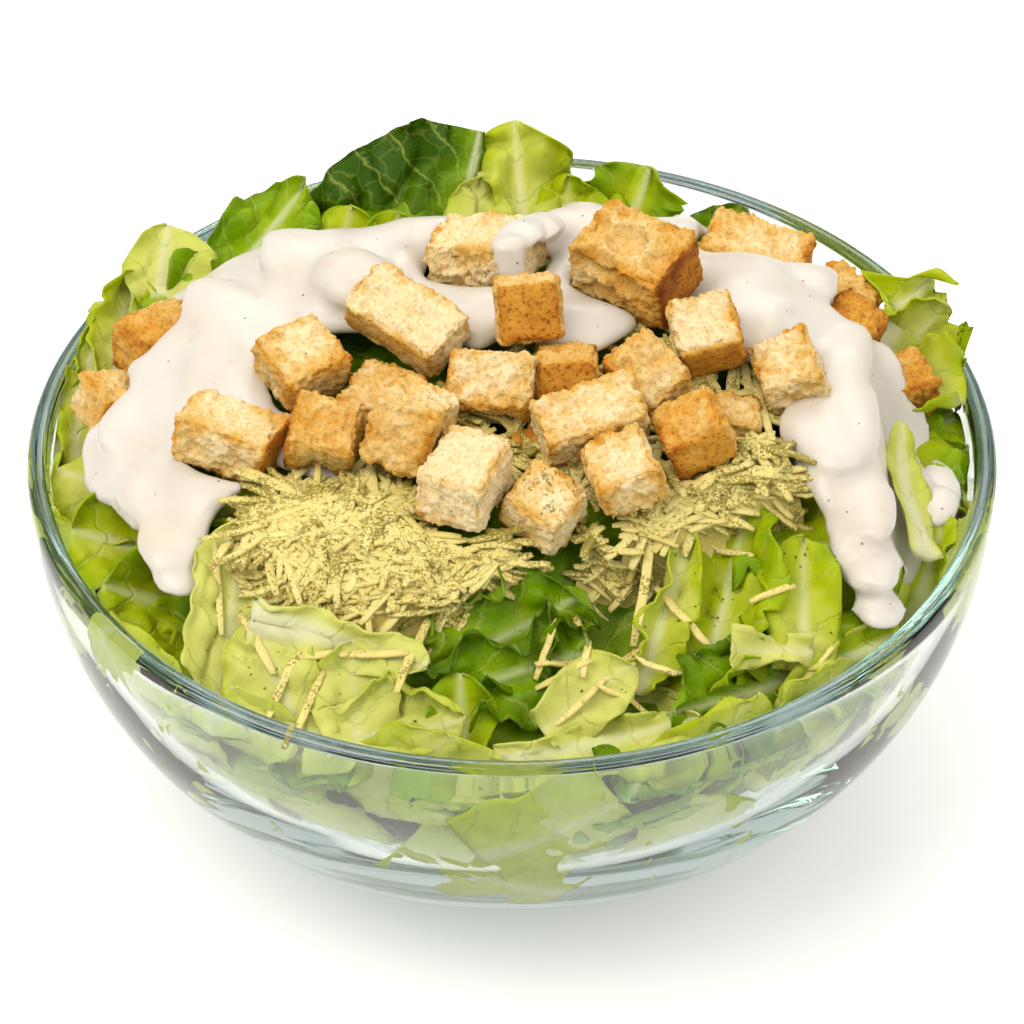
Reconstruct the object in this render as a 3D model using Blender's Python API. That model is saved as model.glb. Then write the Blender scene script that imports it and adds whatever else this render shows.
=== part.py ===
"""Caesar salad in a clear glass bowl.

Frame: metres, +Z up, origin on the table under the middle of the bowl.
The bowl is a turned profile. The lettuce is one heap that fills it out to an
uneven top of leaf folds. The dressing, the grated parmesan and the croutons
lie on that heap, each piece cut clear of the ones it touches.
"""

import itertools
import math
import random

import bmesh
import bpy
from mathutils import Euler, Matrix, Vector

MM = 0.001

# Bowl, in millimetres
RIM_RADIUS = 90.0
BOWL_HEIGHT = 73.0
WALL = 4.0
BASE_THICKNESS = 5.5
CURVE_POWER = 2.19
CURVE_DEPTH = 75.2
CURVE_BASE_RADIUS = 11.9
FOOT_RADIUS = 35.0
FOOT_RING = 8.0
FOOT_RECESS = 0.8
FOOT_SLOPE = 1.0
SEGMENTS = 56
WALL_STEPS = 7
RIM_STEPS = 4
SMOOTH_ANGLE = math.radians(40.0)

# Quarter turns of the wall curve at which each wall starts under the rim and ends below
WALL_START = 0.03
OUTER_END = 0.77
INNER_END = 0.98

# Clearance between touching pieces, and round the soft layers before they are smoothed
GAP = 0.35
LAYER_GAP = 1.0
LAYER_LIFT = 2.1

# Heap of lettuce, heights measured from the rim
DOME_RISE = 18.0
DOME_RADIUS = 85.5
DOME_POWER = 2.5
EDGE_DROP = 2.5
DROP_START = 52.0
RUFFLE = 1.0
HEAP_RINGS = (0.2, 0.4, 0.55, 0.66, 0.74, 0.8, 0.85, 0.9, 0.94, 0.98, 1.0)
HEAP_LEVELS = (46.0, 32.0, 20.0, 11.0)

# Places where the heap falls away from the glass: direction, half width, drop.
# The drop is whole up to half its half width from the middle and gone at 1.5 of it.
HOLLOW_EDGE = 1.5
HOLLOWS = (
    (52.0, 24.0, 20.0),
    (178.0, 22.0, 11.0),
    (2.0, 12.0, 9.0),
)

# How a fold falls away from its tip: drop at its sides as a share of its height, drop
# at its front and back, their powers, and where the fold ends in half widths and depths
FOLD_DROOP = 0.4
FOLD_FALL = 7.0
FOLD_DROOP_POWER = 4
FOLD_FALL_POWER = 1.6
FOLD_ENDS = (1.3, 1.6)
BELOW_ALL = -99.0

# Leaf folds that stand out of the heap:
# middle x and y, height of the tip over the rim, width, depth, turn in degrees
LEAF_FOLDS = (
    (-22.0, 68.0, 20.0, 40.0, 13.0, 6.0),
    (0.0, 69.0, 22.0, 20.0, 13.0, -4.0),
    (14.0, 66.0, 13.0, 18.0, 12.0, -12.0),
    (25.0, 66.0, 13.0, 18.0, 12.0, -20.0),
    (32.0, 59.0, 8.0, 14.0, 11.0, -28.0),
    (-46.0, 57.0, 13.0, 24.0, 14.0, 38.0),
    (-63.0, 42.0, 11.0, 20.0, 14.0, 52.0),
    (-74.0, 24.0, 9.5, 22.0, 13.0, 70.0),
    (-80.0, 0.0, 2.0, 24.0, 9.0, 90.0),
    (-70.0, -34.0, 4.0, 30.0, 16.0, 118.0),
    (-56.0, -50.0, 8.0, 28.0, 18.0, 135.0),
    (-30.0, -62.0, 8.0, 26.0, 14.0, 165.0),
    (-14.0, -76.0, 4.5, 24.0, 12.0, 172.0),
    (6.0, -66.0, 8.0, 30.0, 14.0, 182.0),
    (24.0, -75.0, 5.0, 28.0, 12.0, 196.0),
    (42.0, -58.0, 8.5, 26.0, 16.0, 214.0),
    (58.0, -56.0, 5.0, 26.0, 14.0, 225.0),
    (76.0, -30.0, 3.0, 18.0, 10.0, 250.0),
    (74.0, 27.0, 11.0, 24.0, 15.0, -68.0),
    (79.0, 8.0, 5.0, 18.0, 10.0, -84.0),
)

# Croutons: middle x, y and height over the rim; the three sides; turn, pitch, roll
CROUTONS = (
    ((23.0, 19.0, 26.0), (20.5, 14.5, 13.0), (-35, 13, 0)),
    ((-5.0, 26.0, 23.0), (19.0, 15.0, 10.0), (-20, -6, -10)),
    ((-19.0, 1.5, 25.5), (21.0, 12.0, 9.0), (-42, 20, 10)),
    ((-34.0, -6.5, 21.0), (13.5, 13.0, 10.0), (35, 12, -8)),
    ((-47.0, -21.5, 17.0), (18.5, 12.0, 10.0), (-24, -5, 4)),
    ((-30.0, -25.5, 20.5), (12.0, 11.0, 11.5), (-12, 22, 10)),
    ((-26.0, -10.5, 17.5), (13.0, 12.0, 10.0), (-25, 5, 0)),
    ((-18.0, -26.5, 23.5), (12.0, 14.0, 13.0), (-20, -20, 12)),
    ((-10.5, -37.5, 23.0), (13.0, 15.5, 11.0), (-23, 0, 0)),
    ((2.5, -37.5, 19.5), (12.0, 11.5, 9.5), (-35, 8, 12)),
    ((3.0, 1.5, 27.5), (12.0, 9.0, 11.5), (3, -28, -3)),
    ((-2.5, -12.0, 22.5), (15.0, 11.0, 11.5), (-6, 38, 3)),
    ((12.0, -7.5, 22.5), (11.0, 11.5, 9.5), (-2, -20, 0)),
    ((3.5, -21.0, 13.5), (9.0, 8.0, 7.0), (15, 10, 0)),
    ((14.0, -23.0, 23.5), (19.5, 11.0, 9.0), (20, 18, -10)),
    ((17.0, -38.0, 22.0), (12.0, 12.5, 9.0), (16, 4, -17)),
    ((32.5, -25.0, 22.0), (12.0, 12.5, 9.0), (14, 3, -22)),
    ((22.5, -6.0, 22.5), (13.5, 11.0, 9.0), (-55, 22, 30)),
    ((35.0, -1.0, 24.0), (11.5, 11.5, 12.0), (14, 25, -15)),
    ((48.0, -5.0, 18.5), (11.5, 13.0, 10.0), (11, 8, -22)),
    ((47.5, 38.0, 12.0), (20.0, 14.0, 8.5), (-20, 3, 8)),
    ((60.5, 32.0, 7.5), (13.0, 8.0, 8.0), (-45, 0, 14)),
    ((64.0, 21.0, 9.5), (10.5, 10.0, 12.0), (-30, 10, 20)),
    ((-74.0, 3.0, 5.5), (11.0, 10.5, 9.5), (30, 0, 20)),
    ((-66.0, 18.0, 8.5), (16.0, 11.0, 10.0), (45, 0, 8)),
    ((74.0, 11.0, 4.0), (10.0, 8.0, 9.0), (-70, 0, 10)),
    ((41.0, -12.0, 14.0), (10.0, 10.0, 8.0), (0, 0, 10)),
)
CROUTON_BEVEL = 1.1
CROUTON_UNEVEN = 0.06
SETTLE_ROUNDS = 80
PUSH_SHARE = 0.52
PARALLEL = 1e-4

# Pools of dressing: middle x and y, radius, depth of the pool over the dome
DRESSING_POOLS = (
    (-58.0, -24.0, 18.0, 4.5),
    (-64.0, -2.0, 18.0, 5.0),
    (-54.0, 16.0, 20.0, 6.0),
    (-40.0, 34.0, 19.0, 6.0),
    (-27.0, 22.0, 17.0, 6.0),
    (-22.0, 43.0, 16.0, 5.5),
    (-6.0, 42.0, 16.0, 5.5),
    (-62.0, -38.0, 9.0, 3.5),
    (-10.0, 12.0, 14.0, 6.0),
    (10.0, 12.0, 14.0, 6.5),
    (10.0, 34.0, 16.0, 6.0),
    (28.0, 34.0, 15.0, 5.0),
    (40.0, 20.0, 17.0, 6.5),
    (54.0, 16.0, 16.0, 6.5),
    (60.0, 0.0, 18.0, 6.5),
    (64.0, -16.0, 17.0, 6.0),
    (67.0, -30.0, 13.0, 5.0),
    (66.0, -41.0, 9.0, 4.5),
)
DRIP_POOLS = (
    (78.0, -12.0, 7.0, 6.0),
    (77.0, -19.0, 7.0, 5.5),
)

# Grated parmesan in front of the croutons, in the same terms
PARMESAN_POOLS = (
    (-46.0, -38.0, 11.0, 4.0),
    (-34.0, -44.0, 13.0, 5.0),
    (-18.0, -50.0, 14.0, 5.0),
    (0.0, -53.0, 14.0, 5.5),
    (16.0, -52.0, 13.0, 5.0),
    (32.0, -46.0, 13.0, 5.0),
    (45.0, -34.0, 13.0, 5.0),
    (52.0, -21.0, 10.0, 4.5),
)
POOL_GRID = 6.5
DRIP_GRID = 3.6
POOL_SINK = 9.0
POOL_EDGE = 3.0
POOL_FRINGE = -2.6
POOL_BLEND = 4
POOL_FALL = 2.0
POOL_FALL_POWER = 3

# Flat faces merged in the cut heap, the skin of a layer, and the share of its faces kept
FLAT_ANGLE = math.radians(7.0)
LAYER_SKIN = 1.5
DRESSING_FACES = 0.06
PARMESAN_FACES = 0.08
DRIP_FACES = 0.15


# ---------------------------------------------------------------- materials

def make_material(name, colour, roughness, transmission=0.0, ior=1.45):
    """Return a Principled material."""
    material = bpy.data.materials.new(name)
    material.use_nodes = True
    shader = material.node_tree.nodes["Principled BSDF"]
    shader.inputs["Base Color"].default_value = (*colour, 1.0)
    shader.inputs["Roughness"].default_value = roughness
    shader.inputs["Metallic"].default_value = 0.0
    shader.inputs["Transmission Weight"].default_value = transmission
    shader.inputs["IOR"].default_value = ior
    return material


# ---------------------------------------------------------------- mesh helpers

def add_object(name, mesh, material, cutter=False):
    """Link a mesh into the scene as one named piece, or as a cutter."""
    piece = bpy.data.objects.new(name, mesh)
    bpy.context.scene.collection.objects.link(piece)
    if material:
        mesh.materials.append(material)
    if cutter:
        piece.hide_render = True
        piece.display_type = "WIRE"
    return piece


def mesh_from_bmesh(name, bm):
    """Turn a bmesh into a mesh whose faces point outwards."""
    bmesh.ops.recalc_face_normals(bm, faces=bm.faces)
    mesh = bpy.data.meshes.new(name)
    bm.to_mesh(mesh)
    bm.free()
    return mesh


def bridge_rings(bm, lower, upper):
    """Join two rings of vertices with quads."""
    count = len(lower)
    for i in range(count):
        j = (i + 1) % count
        bm.faces.new((lower[i], lower[j], upper[j], upper[i]))


def fan(bm, ring, centre):
    """Close a ring with triangles to one middle vertex."""
    count = len(ring)
    for i in range(count):
        bm.faces.new((ring[i], ring[(i + 1) % count], centre))


def ring_angles():
    """Return the directions of the segments, shared by bowl and heap."""
    return [2.0 * math.pi * i / SEGMENTS for i in range(SEGMENTS)]


# ---------------------------------------------------------------- bowl

def wall_curve(radius, base_radius, depth, quarter):
    """Return radius and height of a point on the flared wall curve.

    quarter runs from 0 at the rim to 1 at the bottom.
    """
    angle = quarter * math.pi / 2.0
    power = 2.0 / CURVE_POWER
    r = base_radius + (radius - base_radius) * max(math.cos(angle), 0.0) ** power
    z = BOWL_HEIGHT - depth * math.sin(angle) ** power
    return r, z


def outer_profile():
    """Return the outer wall from the foot up to just under the rim."""
    points = []
    for step in range(WALL_STEPS, -1, -1):
        quarter = WALL_START + (OUTER_END - WALL_START) * step / WALL_STEPS
        points.append(wall_curve(RIM_RADIUS, CURVE_BASE_RADIUS, CURVE_DEPTH, quarter))
    return [(FOOT_RADIUS, 0.0)] + points


def inner_profile():
    """Return the inner wall from just under the rim down to the flat bottom."""
    depth = BOWL_HEIGHT - BASE_THICKNESS
    points = []
    for step in range(WALL_STEPS + 1):
        quarter = WALL_START + (INNER_END - WALL_START) * step / WALL_STEPS
        points.append(wall_curve(RIM_RADIUS - WALL, CURVE_BASE_RADIUS, depth, quarter))
    return points


def rim_profile():
    """Return the rounded top of the wall, from outside to inside."""
    half = WALL / 2.0
    points = []
    for step in range(1, RIM_STEPS):
        angle = math.pi * step / RIM_STEPS
        r = RIM_RADIUS - half + half * math.cos(angle)
        z = BOWL_HEIGHT - half + half * math.sin(angle)
        points.append((r, z))
    return points


def bowl_profile():
    """Return the whole turned profile, starting inside the foot recess."""
    ring_inside = FOOT_RADIUS - FOOT_RING
    foot = [(ring_inside - FOOT_SLOPE, FOOT_RECESS), (ring_inside, 0.0)]
    return foot + outer_profile() + rim_profile() + inner_profile()


def build_bowl(material):
    """Turn the bowl's profile about the vertical axis."""
    bm = bmesh.new()
    rings = []
    for r, z in bowl_profile():
        ring = [
            bm.verts.new((r * math.cos(a) * MM, r * math.sin(a) * MM, z * MM))
            for a in ring_angles()
        ]
        rings.append(ring)
    for lower, upper in zip(rings, rings[1:]):
        bridge_rings(bm, lower, upper)
    fan(bm, rings[0], bm.verts.new((0.0, 0.0, FOOT_RECESS * MM)))
    fan(bm, rings[-1], bm.verts.new((0.0, 0.0, inner_profile()[-1][1] * MM)))
    bowl = add_object("bowl", mesh_from_bmesh("bowl", bm), material)
    bowl.data.shade_smooth()
    bowl.data.set_sharp_from_angle(angle=SMOOTH_ANGLE)
    return bowl


def contents_profile():
    """Return the inner wall moved into the bowl by the clearance gap."""
    points = inner_profile()
    moved = []
    for i, (r, z) in enumerate(points):
        before = points[max(i - 1, 0)]
        after = points[min(i + 1, len(points) - 1)]
        along = Vector((after[0] - before[0], after[1] - before[1])).normalized()
        moved.append((r + along.y * GAP, z - along.x * GAP))
    return moved


def contents_radius(height):
    """Return how far the contents reach at a height, by straight steps."""
    points = contents_profile()
    if height >= points[0][1]:
        return points[0][0]
    for (r_top, z_top), (r_low, z_low) in zip(points, points[1:]):
        if height >= z_low:
            share = (z_top - height) / (z_top - z_low)
            return r_top + (r_low - r_top) * share
    return points[-1][0]


# ---------------------------------------------------------------- lettuce heap

def smooth_step(value):
    """Ease a value from 0 to 1."""
    value = min(max(value, 0.0), 1.0)
    return value * value * (3.0 - 2.0 * value)


def dome(r):
    """Return the heap's even height over the rim at a radius."""
    return DOME_RISE * (1.0 - (r / DOME_RADIUS) ** DOME_POWER)


def edge_drop(direction):
    """Return how far the heap's edge lies under the rim in a direction."""
    drop = EDGE_DROP
    for middle, half_width, depth in HOLLOWS:
        away = abs((math.degrees(direction) - middle + 180.0) % 360.0 - 180.0)
        drop = max(drop, depth * smooth_step(HOLLOW_EDGE - away / half_width))
    return drop


def fold_height(x, y):
    """Return the height over the rim of the highest leaf fold at a point."""
    best = BELOW_ALL
    for middle_x, middle_y, tip, width, depth, turn in LEAF_FOLDS:
        angle = math.radians(turn)
        dx, dy = x - middle_x, y - middle_y
        across = (dx * math.cos(angle) + dy * math.sin(angle)) / (width / 2.0)
        through = (dy * math.cos(angle) - dx * math.sin(angle)) / (depth / 2.0)
        if abs(across) > FOLD_ENDS[0] or abs(through) > FOLD_ENDS[1]:
            continue
        droop = FOLD_DROOP * abs(tip) * across ** FOLD_DROOP_POWER
        fall = FOLD_FALL * abs(through) ** FOLD_FALL_POWER
        best = max(best, tip - droop - fall)
    return best


def heap_height(x, y):
    """Return the top of the lettuce over the table at a point."""
    r = math.hypot(x, y)
    direction = math.atan2(y, x)
    share = smooth_step((r - DROP_START) / (DOME_RADIUS - DROP_START))
    even = dome(r) - edge_drop(direction) * share
    waves = math.sin(7.0 * direction + 0.11 * r) + math.sin(0.23 * x + 1.3) * math.cos(0.19 * y)
    ruffled = even + RUFFLE * waves * share
    return BOWL_HEIGHT + max(ruffled, fold_height(x, y))


def build_lettuce(material):
    """Build the heap: a top of rings, and a side that follows the glass."""
    bm = bmesh.new()
    edge = []
    for direction in ring_angles():
        height = BOWL_HEIGHT - edge_drop(direction)
        edge.append((contents_radius(height), height))
    rings = []
    for share in HEAP_RINGS[:-1]:
        ring = []
        for direction, (reach, _) in zip(ring_angles(), edge):
            x = reach * share * math.cos(direction)
            y = reach * share * math.sin(direction)
            ring.append(bm.verts.new((x * MM, y * MM, heap_height(x, y) * MM)))
        rings.append(ring)
    sides = [edge]
    sides += [[(contents_radius(level), level)] * SEGMENTS for level in HEAP_LEVELS]
    sides.append([contents_profile()[-1]] * SEGMENTS)
    for side in sides:
        ring = [
            bm.verts.new((r * math.cos(a) * MM, r * math.sin(a) * MM, z * MM))
            for a, (r, z) in zip(ring_angles(), side)
        ]
        rings.append(ring)
    for inner, outer in zip(rings, rings[1:]):
        bridge_rings(bm, inner, outer)
    fan(bm, rings[0], bm.verts.new((0.0, 0.0, heap_height(0.0, 0.0) * MM)))
    fan(bm, rings[-1], bm.verts.new((0.0, 0.0, contents_profile()[-1][1] * MM)))
    return add_object("lettuce", mesh_from_bmesh("lettuce", bm), material)


# ---------------------------------------------------------------- croutons

class Block:
    """A crouton's place while the croutons settle against each other."""

    def __init__(self, place, sides, turns):
        self.centre = Vector(place)
        self.half = Vector(sides) / 2.0
        yaw, pitch, roll = (math.radians(turn) for turn in turns)
        turned = Matrix.Rotation(yaw, 3, "Z") @ Matrix.Rotation(pitch, 3, "X")
        self.rotation = turned @ Matrix.Rotation(roll, 3, "Y")

    def axes(self):
        """Return the block's three directions."""
        return [self.rotation.col[i].copy() for i in range(3)]

    def reach(self, direction):
        """Return how far the block reaches from its middle in a direction."""
        return sum(self.half[i] * abs(axis.dot(direction)) for i, axis in enumerate(self.axes()))


def overlap_push(first, second):
    """Return the shortest push that parts two blocks, or None if they are clear."""
    own = first.axes()
    other = second.axes()
    tests = own + other + [a.cross(b) for a in own for b in other]
    between = second.centre - first.centre
    best = None
    for test in tests:
        if test.length < PARALLEL:
            continue
        axis = test.normalized()
        depth = first.reach(axis) + second.reach(axis) + GAP - abs(between.dot(axis))
        if depth <= 0.0:
            return None
        if best is None or depth < best.length:
            best = axis * depth * (1.0 if between.dot(axis) >= 0.0 else -1.0)
    return best


def settle(blocks):
    """Push overlapping croutons apart, a little each round."""
    for _ in range(SETTLE_ROUNDS):
        moved = False
        for first, second in itertools.combinations(blocks, 2):
            if (first.centre - second.centre).length > first.half.length + second.half.length:
                continue
            push = overlap_push(first, second)
            if push is None:
                continue
            first.centre -= push * PUSH_SHARE
            second.centre += push * PUSH_SHARE
            moved = True
        if not moved:
            break


def build_crouton(name, block, material, seed):
    """Build one bread cube with cut corners, a little uneven."""
    dice = random.Random(seed)
    bm = bmesh.new()
    bmesh.ops.create_cube(bm, size=2.0)
    for vert in bm.verts:
        for i in range(3):
            vert.co[i] *= block.half[i] * (1.0 - CROUTON_UNEVEN * dice.random())
    bmesh.ops.bevel(
        bm, geom=list(bm.edges), offset=CROUTON_BEVEL, segments=1, affect="EDGES", profile=0.5,
    )
    bmesh.ops.triangulate(bm, faces=bm.faces)
    bmesh.ops.scale(bm, verts=bm.verts, vec=(MM, MM, MM))
    crouton = add_object(name, mesh_from_bmesh(name, bm), material)
    crouton.location = (block.centre + Vector((0.0, 0.0, BOWL_HEIGHT))) * MM
    crouton.rotation_euler = Euler(block.rotation.to_euler())
    return crouton


def build_croutons(material):
    """Settle the croutons, build them all, and return their close and wide pockets."""
    blocks = [Block(*entry) for entry in CROUTONS]
    settle(blocks)
    close = []
    wide = []
    for i, block in enumerate(blocks):
        name = f"crouton_{i + 1:02d}"
        build_crouton(name, block, material, seed=i + 1)
        close.append(pocket_cutter(block, "close_" + name, GAP))
        wide.append(pocket_cutter(block, "wide_" + name, LAYER_GAP))
    return close, wide


# ---------------------------------------------------------------- pools

def pool_depth(pools, x, y):
    """Return the depth over the dome of merged round pools at a point.

    The pools blend like drops that run together. Outside them the depth is
    negative, so the surface passes under the lettuce.
    """
    total = 0.0
    for middle_x, middle_y, radius, depth in pools:
        away = math.hypot(x - middle_x, y - middle_y) / radius
        total += (depth + POOL_EDGE) ** POOL_BLEND * math.exp(-POOL_FALL * away ** POOL_FALL_POWER)
    return total ** (1.0 / POOL_BLEND) - POOL_EDGE


def pool_height(pools, x, y):
    """Return the top of a poured or sprinkled layer over the table."""
    r = math.hypot(x, y)
    return BOWL_HEIGHT + dome(r) + pool_depth(pools, x, y)


def build_layer(name, pools, spacing, material):
    """Build a layer on a square grid, thick enough to reach into the lettuce."""
    bm = bmesh.new()
    columns = {}
    count = int(RIM_RADIUS / spacing) + 1
    limit = contents_radius(BOWL_HEIGHT - POOL_SINK) - GAP
    for i, j in itertools.product(range(-count, count + 1), repeat=2):
        x, y = i * spacing, j * spacing
        if math.hypot(x, y) > limit or pool_depth(pools, x, y) < POOL_FRINGE:
            continue
        top = pool_height(pools, x, y)
        columns[i, j] = (
            bm.verts.new((x * MM, y * MM, top * MM)),
            bm.verts.new((x * MM, y * MM, (top - POOL_SINK) * MM)),
        )
    for i, j in list(columns):
        corners = [(i, j), (i + 1, j), (i + 1, j + 1), (i, j + 1)]
        if all(corner in columns for corner in corners):
            bm.faces.new([columns[corner][0] for corner in corners])
            bm.faces.new([columns[corner][1] for corner in reversed(corners)])
    open_edges = [edge for edge in bm.edges if edge.is_boundary]
    upper = {top: low for top, low in columns.values()}
    for edge in open_edges:
        first, second = edge.verts
        if first in upper and second in upper:
            bm.faces.new((first, second, upper[second], upper[first]))
    loose = [vert for vert in bm.verts if not vert.link_faces]
    bmesh.ops.delete(bm, geom=loose, context="VERTS")
    bmesh.ops.triangulate(bm, faces=bm.faces)
    return add_object(name, mesh_from_bmesh(name, bm), material)


# ---------------------------------------------------------------- cutting

def pocket_cutter(block, name, gap):
    """Return a cutter: the plain box round a crouton, larger by the gap."""
    bm = bmesh.new()
    bmesh.ops.create_cube(bm, size=2.0)
    for vert in bm.verts:
        local = Vector([vert.co[i] * (block.half[i] + gap) for i in range(3)])
        placed = block.rotation @ local + block.centre
        vert.co = (placed + Vector((0.0, 0.0, BOWL_HEIGHT))) * MM
    return add_object(name, mesh_from_bmesh(name, bm), None, cutter=True)


def raised_copy(piece):
    """Return a cutter for the layers: the piece lifted into them."""
    mesh = piece.data.copy()
    mesh.transform(Matrix.Translation((0.0, 0.0, LAYER_LIFT * MM)))
    return add_object("cut_" + piece.name, mesh, None, cutter=True)


def grown_copy(piece):
    """Return a cutter for the layers: the piece with its skin moved out by their gap."""
    mesh = piece.data.copy()
    moves = [vert.normal * LAYER_GAP * MM for vert in mesh.vertices]
    for vert, move in zip(mesh.vertices, moves):
        vert.co += move
    return add_object("cut_" + piece.name, mesh, None, cutter=True)


def cut_clear(piece, cutters, thinning=None):
    """Cut a piece clear of its neighbours and keep its largest body.

    A soft layer gets a smooth new skin too, thinned to a share of its faces.
    """
    for cutter in cutters:
        cut = piece.modifiers.new(cutter.name, "BOOLEAN")
        cut.operation = "DIFFERENCE"
        cut.solver = "EXACT"
        cut.object = cutter
    if thinning:
        skin = piece.modifiers.new("skin", "REMESH")
        skin.mode = "VOXEL"
        skin.voxel_size = LAYER_SKIN * MM
        thin = piece.modifiers.new("thin", "DECIMATE")
        thin.ratio = thinning
    bpy.context.view_layer.update()
    depsgraph = bpy.context.evaluated_depsgraph_get()
    mesh = bpy.data.meshes.new_from_object(piece.evaluated_get(depsgraph))
    piece.modifiers.clear()
    piece.data = mesh
    keep_largest_body(mesh, merge_flat=not thinning)


def connected_bodies(bm):
    """Return the faces of each connected body of a mesh."""
    left = set(bm.faces)
    bodies = []
    while left:
        stack = [left.pop()]
        body = list(stack)
        while stack:
            for edge in stack.pop().edges:
                for face in edge.link_faces:
                    if face in left:
                        left.remove(face)
                        stack.append(face)
                        body.append(face)
        bodies.append(body)
    return bodies


def keep_largest_body(mesh, merge_flat):
    """Delete the crumbs that cutting leaves beside the main body."""
    bm = bmesh.new()
    bm.from_mesh(mesh)
    if merge_flat:
        bmesh.ops.dissolve_limit(bm, verts=bm.verts, edges=bm.edges, angle_limit=FLAT_ANGLE)
    bmesh.ops.triangulate(bm, faces=bm.faces)
    bodies = sorted(connected_bodies(bm), key=lambda body: sum(face.calc_area() for face in body))
    for body in bodies[:-1]:
        bmesh.ops.delete(bm, geom=body, context="FACES")
    bm.to_mesh(mesh)
    bm.free()


# ---------------------------------------------------------------- assembly

def build():
    """Build the bowl and everything in it."""
    for leftover in list(bpy.data.objects):
        bpy.data.objects.remove(leftover)
    glass = make_material("clear_glass", (0.86, 0.92, 0.91), 0.03, transmission=1.0, ior=1.52)
    leaf = make_material("romaine_leaf", (0.34, 0.50, 0.05), 0.45)
    cream = make_material("caesar_dressing", (0.90, 0.85, 0.74), 0.30)
    cheese = make_material("grated_parmesan", (0.80, 0.74, 0.38), 0.55)
    bread = make_material("toasted_bread", (0.80, 0.52, 0.18), 0.75)

    build_bowl(glass)
    lettuce = build_lettuce(leaf)
    close_pockets, wide_pockets = build_croutons(bread)
    dressing = build_layer("dressing", DRESSING_POOLS, POOL_GRID, cream)
    drip = build_layer("dressing_drip", DRIP_POOLS, DRIP_GRID, cream)
    parmesan = build_layer("parmesan", PARMESAN_POOLS, POOL_GRID, cheese)

    heap_top = raised_copy(lettuce)
    dressing_body = grown_copy(dressing)
    cut_clear(lettuce, close_pockets)
    cut_clear(dressing, wide_pockets + [heap_top], thinning=DRESSING_FACES)
    cut_clear(parmesan, wide_pockets + [heap_top, dressing_body], thinning=PARMESAN_FACES)
    cut_clear(drip, wide_pockets + [heap_top, dressing_body], thinning=DRIP_FACES)


build()
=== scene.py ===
"""Looks of a caesar salad in a clear glass bowl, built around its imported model.

Lengths are millimetres and places are measured from the middle of the bowl's rim,
until a mesh is written in metres in the model's own frame.
"""

from __future__ import annotations

import logging
import math
from collections.abc import Callable
from dataclasses import dataclass, field
from enum import Enum

import bpy
import numpy as np
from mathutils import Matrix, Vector
from mathutils.bvhtree import BVHTree


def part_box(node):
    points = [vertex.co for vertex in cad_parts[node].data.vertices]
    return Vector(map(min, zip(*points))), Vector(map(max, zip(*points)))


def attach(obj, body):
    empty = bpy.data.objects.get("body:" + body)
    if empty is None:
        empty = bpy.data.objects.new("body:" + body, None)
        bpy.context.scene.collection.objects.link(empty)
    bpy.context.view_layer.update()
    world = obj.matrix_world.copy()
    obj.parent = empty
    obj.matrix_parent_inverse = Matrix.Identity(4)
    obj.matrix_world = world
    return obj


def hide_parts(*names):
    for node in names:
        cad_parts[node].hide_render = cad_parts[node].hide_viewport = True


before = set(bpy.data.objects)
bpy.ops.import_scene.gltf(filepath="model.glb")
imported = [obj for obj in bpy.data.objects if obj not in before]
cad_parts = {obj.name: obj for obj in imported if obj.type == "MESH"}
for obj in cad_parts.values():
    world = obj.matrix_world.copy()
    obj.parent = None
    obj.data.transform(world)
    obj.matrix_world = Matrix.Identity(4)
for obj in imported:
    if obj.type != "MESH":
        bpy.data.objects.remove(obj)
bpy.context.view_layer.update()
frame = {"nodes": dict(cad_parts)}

MM = 0.001
BODY = "root"
SEED = 7

Place = tuple[float, float, float]
log = logging.getLogger("salad")


# ------------------------------------------------------------------ small tools

def linear(hex_colour: str) -> tuple[float, float, float, float]:
    """Turn an sRGB hex colour into linear RGBA.

    Args:
        hex_colour: six hex digits, with or without a leading #.

    Returns:
        Red, green, blue and an alpha of one.
    """
    digits = hex_colour.lstrip("#")
    parts = [int(digits[i:i + 2], 16) / 255.0 for i in (0, 2, 4)]
    parts = [p / 12.92 if p <= 0.04045 else ((p + 0.055) / 1.055) ** 2.4 for p in parts]
    return (*parts, 1.0)


def smooth(value: np.ndarray, low: float, high: float) -> np.ndarray:
    """Ease from 0 at low to 1 at high."""
    t = np.clip((value - low) / (high - low), 0.0, 1.0)
    return t * t * (3.0 - 2.0 * t)


def unit(vectors: np.ndarray) -> np.ndarray:
    """Return vectors at a length of one."""
    size = np.linalg.norm(vectors, axis=-1, keepdims=True)
    return vectors / np.maximum(size, 1e-9)


def toward(bearing: float, elevation: float) -> np.ndarray:
    """Return the direction of a bearing from +X and an elevation, both in degrees."""
    a, e = math.radians(bearing), math.radians(elevation)
    return np.array([math.cos(a) * math.cos(e), math.sin(a) * math.cos(e), math.sin(e)])


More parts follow.
